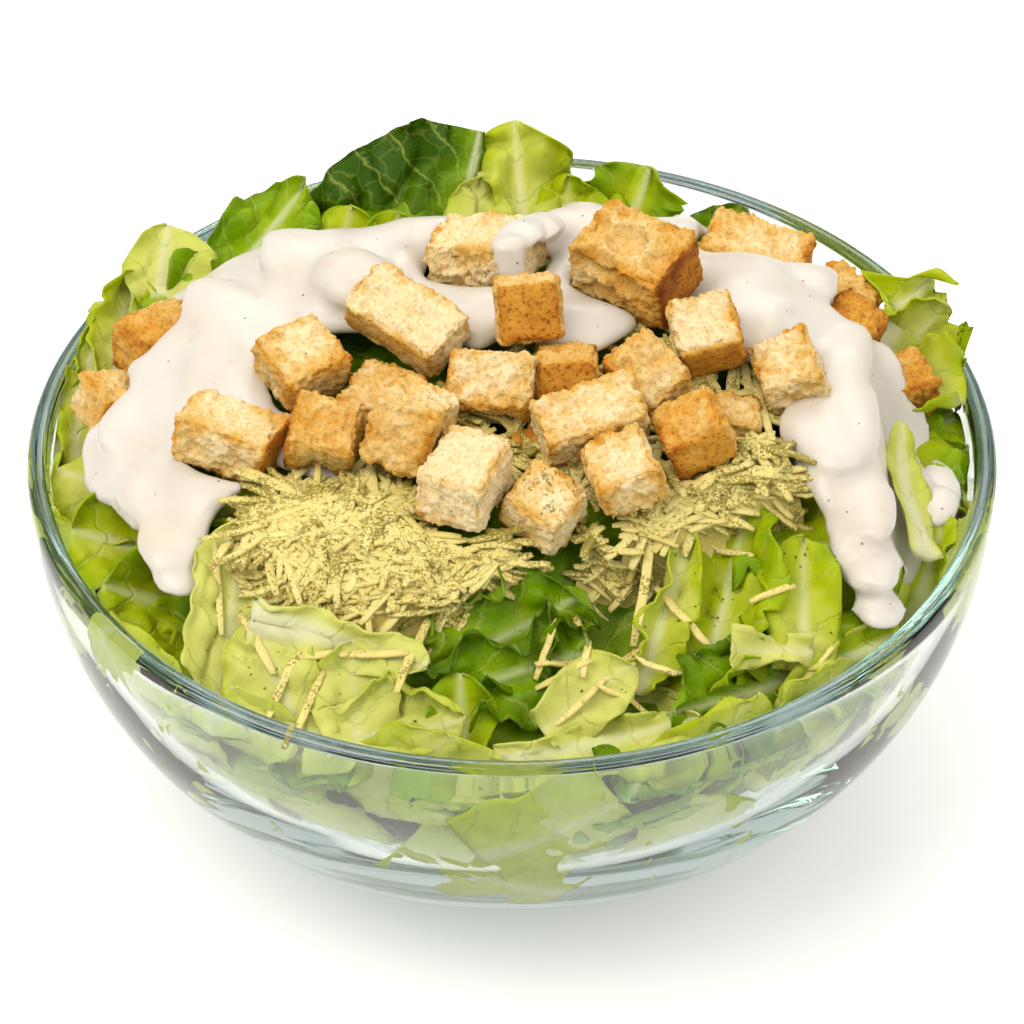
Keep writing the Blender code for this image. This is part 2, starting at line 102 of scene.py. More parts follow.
class Noise:
    """Smooth uneven values in space, the same at each run."""

    TABLE = 4096
    PRIMES = (73856093, 19349663, 83492791)
    LAYER_SHIFT = 19.7

    def __init__(self, seed: int) -> None:
        """Draw the table of values from a seed."""
        self.values = np.random.default_rng(seed).uniform(-1.0, 1.0, self.TABLE)

    def single(self, points: np.ndarray) -> np.ndarray:
        """Return one layer of noise with cells of one unit."""
        low = np.floor(points).astype(np.int64)
        part = points - low
        part = part * part * (3.0 - 2.0 * part)
        total = np.zeros(points.shape[:-1])
        for corner in range(8):
            step = np.array([corner & 1, corner >> 1 & 1, corner >> 2 & 1])
            cell = low + step
            key = np.bitwise_xor.reduce(cell * np.array(self.PRIMES), axis=-1)
            share = np.prod(np.where(step, part, 1.0 - part), axis=-1)
            total += share * self.values[key % self.TABLE]
        return total

    def at(self, points: np.ndarray, size: float, layers: int = 1) -> np.ndarray:
        """Return layered noise.

        Args:
            points: places, with x, y and z in the last axis.
            size: width of the coarsest bumps.
            layers: how many layers, each half as wide and half as high.

        Returns:
            One value for each place, about -1 to 1.
        """
        total = np.zeros(points.shape[:-1])
        for layer in range(layers):
            total += self.single(points / size * 2 ** layer + self.LAYER_SHIFT * layer) / 2 ** layer
        return total


@dataclass
class Shape:
    """A surface: points in millimetres, faces, and named values at its points."""

    points: np.ndarray
    faces: np.ndarray
    values: dict[str, np.ndarray] = field(default_factory=dict)


def join(shapes: list[Shape]) -> Shape:
    """Put several surfaces with the same kind of faces and values into one."""
    starts = np.cumsum([0] + [len(shape.points) for shape in shapes[:-1]])
    return Shape(
        np.concatenate([shape.points for shape in shapes]),
        np.concatenate([shape.faces + start for shape, start in zip(shapes, starts)]),
        {
            name: np.concatenate([shape.values[name] for shape in shapes])
            for name in shapes[0].values
        },
    )


def write_mesh(name: str, shape: Shape) -> bpy.types.Mesh:
    """Write a surface as a smooth-shaded mesh in metres.

    Args:
        name: the mesh's name.
        shape: the surface, measured from the middle of the rim.

    Returns:
        The mesh, in the model's frame.
    """
    mesh = bpy.data.meshes.new(name)
    sides = shape.faces.shape[1]
    mesh.vertices.add(len(shape.points))
    mesh.vertices.foreach_set("co", ((shape.points + RIM_MIDDLE) * MM).ravel().astype(np.float32))
    mesh.loops.add(shape.faces.size)
    mesh.loops.foreach_set("vertex_index", shape.faces.ravel().astype(np.int32))
    mesh.polygons.add(len(shape.faces))
    mesh.polygons.foreach_set("loop_start", np.arange(0, shape.faces.size, sides, dtype=np.int32))
    mesh.update(calc_edges=True)
    for key, data in shape.values.items():
        flat = data.ndim == 1
        store = mesh.attributes.new(key, "FLOAT" if flat else "FLOAT_VECTOR", "POINT")
        store.data.foreach_set("value" if flat else "vector", data.ravel().astype(np.float32))
    mesh.validate()
    mesh.shade_smooth()
    return mesh


def read_mesh(mesh: bpy.types.Mesh) -> np.ndarray:
    """Return a mesh's points in millimetres from the middle of the rim."""
    points = np.empty(len(mesh.vertices) * 3, np.float32)
    mesh.vertices.foreach_get("co", points)
    return points.reshape(-1, 3).astype(float) / MM - RIM_MIDDLE


def add_piece(
    name: str, mesh: bpy.types.Mesh, material: bpy.types.Material, slot: str, *nodes: str,
) -> bpy.types.Object:
    """Add a finished piece that rides on the salad's one body.

    Args:
        name: the piece's name.
        mesh: its mesh.
        material: its finish.
        slot: the record's material slot that the finish belongs to; not used.
        nodes: the solids that the piece stands for.

    Returns:
        The piece's object.
    """
    mesh.materials.clear()
    mesh.materials.append(material)
    piece = bpy.data.objects.new(name, mesh)
    bpy.context.scene.collection.objects.link(piece)
    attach(piece, BODY)
    if nodes:
        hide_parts(*nodes)
    log.info("%s: %d faces", name, len(mesh.polygons))
    return piece


def evaluated(mesh: bpy.types.Mesh, *steps: tuple[str, dict[str, object]]) -> bpy.types.Mesh:
    """Return a mesh after a chain of modifiers.

    Args:
        mesh: the mesh to start from.
        steps: each modifier's kind and its settings.

    Returns:
        A new mesh with the modifiers applied.
    """
    holder = bpy.data.objects.new("holder", mesh)
    bpy.context.scene.collection.objects.link(holder)
    for kind, settings in steps:
        modifier = holder.modifiers.new(kind, kind)
        for key, value in settings.items():
            setattr(modifier, key, value)
    bpy.context.view_layer.update()
    depsgraph = bpy.context.evaluated_depsgraph_get()
    result = bpy.data.meshes.new_from_object(holder.evaluated_get(depsgraph))
    bpy.data.objects.remove(holder)
    return result


class Probe:
    """Finds the top of some meshes straight below a place."""

    ABOVE = 0.3
    NOTHING = -60.0

    def __init__(self, *meshes: bpy.types.Mesh) -> None:
        """Build a search tree over the meshes' faces."""
        points: list[Vector] = []
        faces: list[tuple[int, ...]] = []
        for mesh in meshes:
            start = len(points)
            points += [vert.co.copy() for vert in mesh.vertices]
            faces += [tuple(start + i for i in poly.vertices) for poly in mesh.polygons]
        self.tree = BVHTree.FromPolygons(points, faces)

    def drop(self, x: float, y: float) -> tuple[np.ndarray, np.ndarray] | None:
        """Drop a straight line at a place and return the point and normal it meets."""
        start = Vector((x * MM, y * MM, self.ABOVE))
        point, normal, _, _ = self.tree.ray_cast(start, Vector((0.0, 0.0, -1.0)))
        if point is None:
            return None
        return np.array(point) / MM - RIM_MIDDLE, np.array(normal)

    def height(self, x: float, y: float, missing: float = NOTHING) -> float:
        """Return the height over the rim at a place, or a low value where there is nothing."""
        hit = self.drop(x, y)
        return missing if hit is None else float(hit[0][2])

    def has(self, x: float, y: float) -> bool:
        """Return whether there is anything at a place."""
        return self.drop(x, y) is not None


def add_node(
    tree: bpy.types.NodeTree,
    kind: str,
    inputs: dict[str | int, object] | None = None,
    stops: list[tuple[float, str]] | None = None,
    **settings: object,
) -> bpy.types.Node:
    """Add a shader node with its settings and links.

    Args:
        tree: the node tree.
        kind: the node's type.
        inputs: for each input, a socket to link or a value to set.
        stops: places and hex colours of a colour ramp.
        settings: the node's own properties.

    Returns:
        The new node.
    """
    node = tree.nodes.new(kind)
    for name, value in settings.items():
        setattr(node, name, value)
    for key, value in (inputs or {}).items():
        if isinstance(value, bpy.types.NodeSocket):
            tree.links.new(value, node.inputs[key])
        else:
            node.inputs[key].default_value = value
    if stops:
        ramp = node.color_ramp.elements
        while len(ramp) < len(stops):
            ramp.new(1.0)
        for element, (place, colour) in zip(ramp, stops):
            element.position = place
            element.color = linear(colour)
    return node


def attribute(tree: bpy.types.NodeTree, name: str, output: str = "Fac") -> bpy.types.NodeSocket:
    """Return the values that a mesh carries under a name."""
    return add_node(tree, "ShaderNodeAttribute", attribute_name=name).outputs[output]


def cloud(
    tree: bpy.types.NodeTree,
    place: bpy.types.NodeSocket,
    width: float,
    detail: float = 2.0,
    roughness: float = 0.5,
) -> bpy.types.Node:
    """Add a noise whose coarsest bumps have a width, in the unit of the places."""
    return add_node(tree, "ShaderNodeTexNoise", {
        "Vector": place, "Scale": 1.0 / width, "Detail": detail, "Roughness": roughness,
    })


def maths(tree: bpy.types.NodeTree, operation: str, *values: object) -> bpy.types.NodeSocket:
    """Work out one value from others, each a socket or a number."""
    return add_node(tree, "ShaderNodeMath", dict(enumerate(values)), operation=operation).outputs[0]


def spread(
    tree: bpy.types.NodeTree,
    value: bpy.types.NodeSocket,
    span: tuple[float, float],
    onto: tuple[float, float] = (0.0, 1.0),
    **settings: object,
) -> bpy.types.NodeSocket:
    """Map a span of a value onto another span."""
    return add_node(tree, "ShaderNodeMapRange", {
        "Value": value, "From Min": span[0], "From Max": span[1], "To Min": onto[0], "To Max": onto[1],
    }, **settings).outputs[0]


def blend(
    tree: bpy.types.NodeTree, share: object, first: object, second: object, kind: str = "MIX",
) -> bpy.types.NodeSocket:
    """Blend two colours, each a socket or a hex colour."""
    sides = [linear(side) if isinstance(side, str) else side for side in (first, second)]
    return add_node(tree, "ShaderNodeMix", {0: share, 6: sides[0], 7: sides[1]},
                    data_type="RGBA", blend_type=kind).outputs[2]


def bump(
    tree: bpy.types.NodeTree, height: bpy.types.NodeSocket, strength: float, distance: float,
) -> bpy.types.NodeSocket:
    """Return surface directions roughened by a height, with the distance in millimetres."""
    return add_node(tree, "ShaderNodeBump", {
        "Height": height, "Strength": strength, "Distance": distance * MM,
    }).outputs[0]


def new_material(name: str) -> tuple[bpy.types.Material, bpy.types.NodeTree, bpy.types.Node]:
    """Return an empty node material, its tree and its output node."""
    material = bpy.data.materials.new(name)
    material.use_nodes = True
    tree = material.node_tree
    tree.nodes.clear()
    return material, tree, add_node(tree, "ShaderNodeOutputMaterial")


BOWL_LOW, BOWL_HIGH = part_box("bowl")
RIM_RADIUS = (BOWL_HIGH.x - BOWL_LOW.x) / 2.0 / MM
RIM_MIDDLE = np.array([0.0, 0.0, BOWL_HIGH.z / MM])


# ------------------------------------------------------------------ finishes

@dataclass(frozen=True)
class PressedGlass:
    """Clear soda-lime glass, pressed in a mould and fire polished.

    The eye sees it by its dark and bright edges, with a breath of green in depth.
    """

    tint: str = "#C9E3DE"
    ior: float = 1.52
    depth_tint: str = "#6FB0A4"
    density: float = 7.0

    def material(self) -> bpy.types.Material:
        """Build the material; lamps reach what is inside through a clear shadow."""
        material, tree, output = new_material("pressed_soda_lime_glass")
        glass = add_node(tree, "ShaderNodeBsdfPrincipled", {
            "Base Color": linear("#F7FCFB"), "Roughness": 0.0, "IOR": self.ior,
            "Transmission Weight": 1.0,
        })
        clear = add_node(tree, "ShaderNodeBsdfTransparent", {"Color": linear(self.tint)})
        rays = add_node(tree, "ShaderNodeLightPath")
        mix = add_node(tree, "ShaderNodeMixShader", {
            0: rays.outputs["Is Shadow Ray"], 1: glass.outputs[0], 2: clear.outputs[0],
        }, label="light through glass")
        tree.links.new(mix.outputs[0], output.inputs["Surface"])
        depth = add_node(tree, "ShaderNodeVolumeAbsorption", {
            "Color": linear(self.depth_tint), "Density": self.density,
        })
        tree.links.new(depth.outputs[0], output.inputs["Volume"])
        return material


# ------------------------------------------------------------------ bowl

@dataclass(frozen=True)
class Bowl:
    """The glass bowl: a turned flared wall with a rounded rim and a ring foot."""

    wall: float = 4.0
    base: float = 5.5
    power: float = 2.19
    outer_depth: float = 75.2
    base_radius: float = 11.9
    foot_radius: float = 35.0
    foot_ring: float = 8.0
    foot_recess: float = 0.8
    around: int = 320
    wall_steps: int = 34
    rim_steps: int = 14
    unevenness: float = 0.16

    @property
    def inner_depth(self) -> float:
        """Depth of the inside below the rim."""
        return RIM_MIDDLE[2] - self.base

    def curve(self, radius: float, depth: float, quarter: np.ndarray) -> np.ndarray:
        """Return points of a wall curve, from 0 at the rim to 1 at the bottom.

        Args:
            radius: the curve's radius at the rim.
            depth: how far it falls.
            quarter: shares of the quarter turn.

        Returns:
            Radius and height over the rim of each point.
        """
        angle = quarter * math.pi / 2.0
        share = 2.0 / self.power
        r = self.base_radius + (radius - self.base_radius) * np.cos(angle) ** share
        return np.stack([r, -depth * np.sin(angle) ** share], axis=1)

    def inner(self) -> np.ndarray:
        """Return the inner wall from the rim down."""
        quarter = np.linspace(0.03, 0.985, self.wall_steps)
        return self.curve(RIM_RADIUS - self.wall, self.inner_depth, quarter)

    def inner_radius(self, height: np.ndarray) -> np.ndarray:
        """Return the inner wall's radius at heights over the rim."""
        points = self.inner()[::-1]
        return np.interp(height, points[:, 1], points[:, 0])

    def profile(self) -> np.ndarray:
        """Return the whole turned profile, from the foot's recess round to the inside."""
        floor = -RIM_MIDDLE[2]
        inside = self.foot_radius - self.foot_ring
        round_off = 1.2
        foot = [
            (inside - 1.0, floor + self.foot_recess), (inside - 0.3, floor + 0.15),
            (inside + 0.3, floor), (self.foot_radius - round_off, floor),
            (self.foot_radius - 0.3, floor + 0.35), (self.foot_radius + 0.2, floor + 1.0),
        ]
        outer = self.curve(RIM_RADIUS, self.outer_depth, np.linspace(0.76, 0.03, self.wall_steps))
        turn = np.linspace(0.0, math.pi, self.rim_steps)[1:-1]
        half = self.wall / 2.0
        rim = np.stack([RIM_RADIUS - half + half * np.cos(turn), half * np.sin(turn) - half], axis=1)
        return np.concatenate([foot, outer, rim, self.inner()])

    def build(self) -> bpy.types.Object:
        """Turn the profile into the bowl, with the slight waves of pressed glass."""
        profile = self.profile()
        turns = np.linspace(0.0, 2.0 * math.pi, self.around, endpoint=False)
        r = profile[:, 0][:, None]
        x, y = r * np.cos(turns), r * np.sin(turns)
        z = np.repeat(profile[:, 1][:, None], self.around, axis=1)
        points = np.stack([x, y, z], axis=-1)
        # Waves are long round the bowl and short up the wall
        squeezed = np.stack([x * 0.35, y * 0.35, z * 1.6], axis=-1)
        wave = self.unevenness * Noise(SEED).at(squeezed, 16.0, 2)
        inside = np.arange(len(profile)) >= len(profile) - self.wall_steps
        points[..., :2] *= (1.0 - np.where(inside[:, None], np.abs(wave), 0.0) / r)[..., None]
        rows, columns = z.shape
        index = np.arange(rows * columns).reshape(rows, columns)
        after = np.roll(index, -1, axis=1)
        walls = np.stack([index[:-1], after[:-1], after[1:], index[1:]], axis=-1).reshape(-1, 4)
        middles = np.array([(0.0, 0.0, profile[0, 1]), (0.0, 0.0, profile[-1, 1])])
        under, over = rows * columns, rows * columns + 1
        # Quads that skip every second point close the two middles
        pairs = np.arange(0, columns, 2)
        low = np.stack([np.full(len(pairs), under), after[0][(pairs + 1) % columns],
                        after[0][pairs], index[0][pairs]], axis=1)
        top = np.stack([np.full(len(pairs), over), index[-1][pairs], after[-1][pairs],
                        after[-1][(pairs + 1) % columns]], axis=1)
        shape = Shape(np.concatenate([points.reshape(-1, 3), middles]),
                      np.concatenate([walls, low, top]))
        mesh = write_mesh("salad_bowl", shape)
        return add_piece("salad_bowl", mesh, PressedGlass().material(), "glass", "bowl")


# ------------------------------------------------------------------ studio

@dataclass(frozen=True)
class Studio:
    """A pale floor, soft lamps and the camera."""

    sensor: float = 36.0
    lens: float = 170.4
    distance: float = 900.0
    elevation: float = 39.53
    aim_drop: float = 18.0
    floor_side: float = 6000.0
    floor_colour: str = "#FAFAF8"

    def camera(self) -> None:
        """Stand the camera in front of the bowl, above it."""
        data = bpy.data.cameras.new("camera")
        data.sensor_width = self.sensor
        data.lens = self.lens
        data.clip_end = 20.0
        camera = bpy.data.objects.new("camera", data)
        bpy.context.scene.collection.objects.link(camera)
        aim = Vector(RIM_MIDDLE - np.array([0.0, 0.0, self.aim_drop])) * MM
        back = Vector(toward(-90.0, self.elevation))
        camera.location = Vector(RIM_MIDDLE) * MM + back * self.distance * MM
        camera.rotation_euler = (camera.location - aim).to_track_quat("Z", "Y").to_euler()
        bpy.context.scene.camera = camera

    def floor(self) -> None:
        """Lay a matt pale floor like faintly mottled paper, lit a little from below."""
        half = self.floor_side / 2.0
        low = -RIM_MIDDLE[2]
        corners = np.array([(-half, -half, low), (half, -half, low), (half, half, low), (-half, half, low)])
        mesh = write_mesh("floor", Shape(corners, np.array([[0, 1, 2, 3]])))
        material, tree, output = new_material("pale_paper")
        place = add_node(tree, "ShaderNodeTexCoord")
        grain = add_node(tree, "ShaderNodeTexNoise", {"Vector": place.outputs["Object"], "Scale": 900.0})
        tone = blend(tree, grain.outputs[0], self.floor_colour, "#F5F5F3")
        paper = add_node(tree, "ShaderNodeBsdfPrincipled", {
            "Base Color": tone, "Roughness": 0.9, "Specular IOR Level": 0.1,
            "Emission Color": linear("#FFFFFF"), "Emission Strength": 0.3,
        })
        tree.links.new(paper.outputs[0], output.inputs["Surface"])
        mesh.materials.append(material)
        floor = bpy.data.objects.new("floor", mesh)
        bpy.context.scene.collection.objects.link(floor)

    def lamp(self, name: str, place: Place, size: float, power: float, colour: str) -> None:
        """Hang a square soft lamp that looks at the salad.

        Args:
            name: the lamp's name.
            place: where it hangs, in metres from the middle of the rim.
            size: side of its square, in metres.
            power: its power in watts.
            colour: its colour.
        """
        data = bpy.data.lights.new(name, "AREA")
        data.shape = "SQUARE"
        data.size = size
        data.energy = power
        data.color = linear(colour)[:3]
        lamp = bpy.data.objects.new(name, data)
        bpy.context.scene.collection.objects.link(lamp)
        lamp.location = Vector(place) + Vector(RIM_MIDDLE) * MM
        lamp.rotation_euler = Vector(place).to_track_quat("Z", "Y").to_euler()

    def world(self) -> None:
        """Surround the salad with light from above that darkens towards the horizon."""
        world = bpy.data.worlds.new("studio")
        world.use_nodes = True
        tree = world.node_tree
        tree.nodes.clear()
        output = add_node(tree, "ShaderNodeOutputWorld")
        place = add_node(tree, "ShaderNodeTexCoord")
        axes = add_node(tree, "ShaderNodeSeparateXYZ", {0: place.outputs["Generated"]})
        sky = add_node(tree, "ShaderNodeValToRGB", {0: axes.outputs["Z"]}, stops=[
            (0.0, "#2A3836"), (0.09, "#4C5E5A"), (0.2, "#C2CCC9"), (0.45, "#FFFAF7"),
        ])
        soft = add_node(tree, "ShaderNodeBackground", {"Color": sky.outputs[0], "Strength": 0.72})
        pale = add_node(tree, "ShaderNodeBackground", {"Color": linear("#F4F5F5"), "Strength": 1.0})
        rays = add_node(tree, "ShaderNodeLightPath")
        mix = add_node(tree, "ShaderNodeMixShader", {
            0: rays.outputs["Is Camera Ray"], 1: soft.outputs[0], 2: pale.outputs[0],
        })
        tree.links.new(mix.outputs[0], output.inputs["Surface"])
        bpy.context.scene.world = world

    def build(self) -> None:
        """Set up the whole studio."""
        self.camera()
        self.floor()
        self.lamp("key_lamp", (-0.55, -0.35, 1.05), 0.8, 9.4, "#FFF7F0")
        self.lamp("fill_lamp", (0.75, -0.5, 0.8), 0.9, 3.4, "#FFFAF6")
        self.lamp("back_lamp", (0.1, 0.9, 0.9), 0.7, 4.2, "#FFFAF5")
        self.world()
        # Light runs a long way inside a thick glass rim before it leaves
        light_paths = bpy.context.scene.cycles
        light_paths.glossy_bounces = 16
        light_paths.transmission_bounces = 24
        light_paths.max_bounces = 24
        light_paths.diffuse_bounces = 2
        view = bpy.context.scene.view_settings
        view.view_transform = "Standard"
        view.look = "None"


# ------------------------------------------------------------------ lettuce

@dataclass(frozen=True)
class RomaineLeaf:
    """Fresh romaine, washed and cut.

    Crisp tissue with a waxy sheen: light comes through it yellow, the ribs are
    almost white, and the outer leaves are a deep green.
    """

    deep: str = "#3B6000"
    middle: str = "#85AD02"
    bright: str = "#BCCC0C"
    light: str = "#E2E57A"
    rib: str = "#ECEEC4"
    vein: str = "#C6D468"
    through: str = "#D8E22A"
    herb: str = "#55521A"
    vein_spacing: float = 9.0
    net_width: float = 5.2
    herb_spacing: float = 2.4

    def material(self) -> bpy.types.Material:
        """Build the material from each point's place on its leaf."""
        material, tree, output = new_material("romaine_leaf")
        lay = attribute(tree, "lay", "Vector")
        pale, rib, dust = (attribute(tree, name) for name in ("pale", "rib", "dust"))
        blur = cloud(tree, lay, 5.0, 3.0)
        axes = add_node(tree, "ShaderNodeSeparateXYZ", {0: lay})
        across = maths(tree, "ABSOLUTE", axes.outputs["X"])
        lean = maths(tree, "MULTIPLY_ADD", across, -0.85, axes.outputs["Y"])
        warped = maths(tree, "MULTIPLY_ADD", blur.outputs[0], 7.0, lean)
        share = maths(tree, "MULTIPLY", warped, 1.0 / self.vein_spacing)
        wave = maths(tree, "PINGPONG", share, 0.5)
        side_vein = spread(tree, wave, (0.0, 0.075), (1.0, 0.0), interpolation_type="SMOOTHSTEP")
        wander = add_node(tree, "ShaderNodeVectorMath", {
            0: blur.outputs["Color"], 1: (4.5, 4.5, 4.5), 2: lay,
        }, operation="MULTIPLY_ADD")
        net = add_node(tree, "ShaderNodeTexVoronoi", {
            "Vector": wander.outputs[0], "Scale": 1.0 / self.net_width,
        }, feature="DISTANCE_TO_EDGE")
        net_line = spread(tree, net.outputs["Distance"], (0.0, 0.045), (0.4, 0.0),
                          interpolation_type="SMOOTHSTEP")
        all_veins = maths(tree, "MAXIMUM", side_vein, net_line)
        mottle = maths(tree, "SUBTRACT", blur.outputs[0], 0.5)
        tone = maths(tree, "MULTIPLY_ADD", mottle, 0.4, pale)
        blade = add_node(tree, "ShaderNodeValToRGB", {0: tone}, stops=[
            (0.04, self.deep), (0.34, self.middle), (0.66, self.bright), (0.98, self.light),
        ])
        # Veins stand out pale on the dark outer leaves and hardly at all on the hearts
        show = spread(tree, pale, (0.1, 0.6), (0.4, 0.3))
        vein_share = maths(tree, "MULTIPLY", all_veins, show)
        ribbed = blend(tree, rib, blend(tree, vein_share, blade.outputs[0], self.vein), self.rib)
        specks = add_node(tree, "ShaderNodeTexVoronoi", {"Vector": lay, "Scale": 1.0 / self.herb_spacing})
        speck = spread(tree, specks.outputs["Distance"], (0.07, 0.12), (1.0, 0.0))
        colour = blend(tree, maths(tree, "MULTIPLY", speck, dust), ribbed, self.herb)
        height = maths(tree, "MULTIPLY_ADD", side_vein, -0.35, blur.outputs[0])
        pores = cloud(tree, lay, 1.3)
        rough = maths(tree, "MULTIPLY_ADD", pores.outputs[0], 0.3, height)
        skin = add_node(tree, "ShaderNodeBsdfPrincipled", {
            "Base Color": colour, "Roughness": 0.38, "IOR": 1.42, "Specular IOR Level": 0.2,
            "Normal": bump(tree, rough, 0.6, 0.8),
        })
        glow_colour = blend(tree, 1.0, colour, self.through, "MULTIPLY")
        glow = add_node(tree, "ShaderNodeBsdfTranslucent", {"Color": blend(tree, 0.5, glow_colour, colour)})
        leaf = add_node(tree, "ShaderNodeMixShader", {0: 0.24, 1: skin.outputs[0], 2: glow.outputs[0]})
        tree.links.new(leaf.outputs[0], output.inputs["Surface"])
        return material


class Cut(Enum):
    """How a piece was cut from its leaf."""

    TIP = "the round end of a leaf"
    STRIP = "a length cut straight at both ends"
    RIB = "a slab of the thick white rib"
    HEART = "a small cupped leaf from the heart"
    WEDGE = "a corner torn off a large leaf"


@dataclass(frozen=True)
class Leaf:
    """One cut piece of leaf, and how it lies.

    The piece grows from base to tip. Its upper side looks towards a bearing and an
    elevation. The blade reaches left and right of the rib.
    """

    base: Place
    tip: Place
    facing: tuple[float, float] = (-90.0, 40.0)
    left: float = 12.0
    right: float = 12.0
    cut: Cut = Cut.TIP
    pale: float = 0.5
    bend: float = 20.0
    fold: float = 14.0
    curl: tuple[float, float] = (0.0, 0.0)
    ruffle: float = 2.0
    blister: float = 0.7
    rib: float = 1.0
    dust: float = 0.0
    step: float = 0.85
    point: float = 0.5
    lobes: float = 0.13

    RIPPLE = 16.0
    SKIN = 0.34
    # Widths of the slow drift, the lobes and teeth of the margin, the blisters and the creases
    DRIFT = 20.0
    LOBE = 8.0
    TOOTH = 2.2
    BLISTER = 4.8
    CREASE = 8.0

    def outline(self, along: np.ndarray) -> np.ndarray:
        """Return the blade's reach along the piece as a share of its full reach."""
        if self.cut is Cut.STRIP:
            return 0.92 + 0.08 * np.sin(3.0 * along)
        if self.cut is Cut.RIB:
            return 1.0 - 0.3 * along
        if self.cut is Cut.WEDGE:
            return 1.0 - 0.8 * along
        shoulder = 0.34 if self.cut is Cut.HEART else 0.5
        end = np.clip((along - shoulder) / (1.0 - shoulder), 0.0, 1.0)
        start = 0.62 if self.cut is Cut.HEART else 0.74
        return (start + (1.0 - start) * smooth(along, 0.0, 0.5)) * (1.0 - end ** 2.5 + 4e-3) ** self.point

    def frame(self) -> tuple[np.ndarray, np.ndarray, np.ndarray, float]:
        """Return the directions across, along and out of the upper side, and the length."""
        along = np.array(self.tip, float) - np.array(self.base, float)
        length = float(np.linalg.norm(along))
        along /= length
        face = toward(*self.facing)
        face = unit(face - along * float(face @ along))
        return np.cross(along, face), along, face, length

    def section(self, reach: np.ndarray, share: np.ndarray, curl: float) -> tuple[np.ndarray, ...]:
        """Lay one side of the blade out along its curved section.

        Args:
            reach: flat distance from the rib of each point.
            share: the same as a share of the full reach.
            curl: how far the margin turns up, in degrees.

        Returns:
            Distance out, height, and the section's slope at each point.
        """
        slope = np.radians(self.fold * smooth(share, 0.0, 0.3) + curl * smooth(share, 0.62, 1.0))
        steps = np.diff(reach, axis=1, prepend=0.0)
        return np.cumsum(np.cos(slope) * steps, axis=1), np.cumsum(np.sin(slope) * steps, axis=1), slope

    def sheet(self, seed: int) -> tuple[np.ndarray, np.ndarray, dict[str, np.ndarray]]:
        """Bend the piece into place.

        Args:
            seed: seed of the piece's own unevenness.

        Returns:
            The grid of points, the thickness at each, and the named values.
        """
        across, along, face, chord = self.frame()
        noise = Noise(seed)
        rows = max(9, int(chord / self.step * 1.1))
        half = max(4, int(max(self.left, self.right) / self.step))
        v = 1.0 - (1.0 - np.linspace(0.0, 1.0, rows)) ** 1.25
        u = np.linspace(0.0, 1.0, half + 1)
        lean = math.radians(self.bend) * (v - 0.5)
        forward = np.concatenate([[0.0], np.cumsum(np.cos(lean[1:]) * np.diff(v))])
        lift = np.concatenate([[0.0], np.cumsum(np.sin(lean[1:]) * np.diff(v))])
        stretch = chord / forward[-1]
        length = v * stretch
        edge = np.stack([length, np.zeros(rows), np.zeros(rows)], axis=1)
        sides = []
        for sign, reach, curl in ((-1.0, self.left, self.curl[0]), (1.0, self.right, self.curl[1])):
            lobes = self.lobes * noise.at(edge + 40.0 * sign, self.LOBE, 2)
            teeth = 0.05 * noise.at(edge + 9.0 * sign, self.TOOTH)
            full = reach * self.outline(v) * (1.0 + lobes + teeth)
            flat = full[:, None] * u
            out, rise, slope = self.section(flat, np.repeat(u[None], rows, 0), curl)
            sides.append((sign * flat, sign * out, rise, slope))
        flat, out, rise, slope = (
            np.concatenate([left[:, :0:-1], right], axis=1) for left, right in zip(*sides)
        )
        sign = np.concatenate([-np.ones(half), np.ones(half + 1)])[None]
        share = np.concatenate([u[:0:-1], u])[None]
        place = np.stack([flat, np.repeat(length[:, None], flat.shape[1], 1), np.zeros_like(flat)], axis=-1)
        drift = noise.at(place, self.DRIFT)
        phase = 2.0 * math.pi * place[..., 1] / self.RIPPLE + 2.6 * drift + 1.7 * sign
        waves = np.sin(phase) + 0.25 * np.sin(2.3 * phase + 3.0 * noise.at(place, 9.0))
        frill = np.sin(3.1 * phase + 2.2 * noise.at(place, 6.0))
        move = self.ruffle * (share ** 1.8 * waves + 0.3 * share ** 4 * frill)
        if self.cut is not Cut.RIB:
            bumps = noise.at(place * [1.0, 0.8, 1.0], self.BLISTER)
            creases = np.abs(noise.at(place * [1.5, 0.7, 1.0], self.CREASE, 2))
            quilt = 1.2 * (np.abs(bumps) * 1.7 - 0.5) - 1.6 * np.exp(-creases * 7.0)
            move += self.blister * quilt * smooth(share, 0.04, 0.3)
        move += 0.9 * drift
        x = out - np.sin(slope) * sign * move
        z = rise + np.cos(slope) * move
        up = np.cos(lean)[:, None] * z
        back = -np.sin(lean)[:, None] * z
        y_line = (forward * stretch)[:, None] + back
        z_line = ((lift - lift[-1] * v) * stretch)[:, None] + up
        grid = (np.array(self.base) + x[..., None] * across + y_line[..., None] * along
                + z_line[..., None] * face)
        width = 0.6 + 2.2 * self.rib * (1.0 - v)[:, None]
        ridge = np.exp(-(flat / width) ** 4) * (1.0 if self.cut is not Cut.HEART else 0.6)
        if self.cut is Cut.RIB:
            ridge = np.ones_like(flat)
        thick = self.SKIN + self.rib * (0.25 + 1.5 * (1.0 - v)[:, None]) * ridge
        pale = (self.pale + 0.16 * np.exp(-np.abs(flat) / 5.0) + 0.16 * (1.0 - v)[:, None]
                - 0.12 * share ** 2 + 0.12 * drift)
        values = {
            "lay": place + [0.0, 0.0, 11.0 * (seed % 97)],
            "pale": np.clip(pale, 0.0, 1.0),
            "rib": np.clip(ridge * (1.0 - 0.45 * v[:, None]) * min(1.0, 0.35 + self.rib), 0.0, 0.92),
            "dust": np.full_like(flat, self.dust),
        }
        return grid, thick, values

    def shape(self, seed: int) -> Shape:
        """Give the bent piece its thickness and close its edge."""
        grid, thick, values = self.sheet(seed)
        return thickened(grid, thick, values)


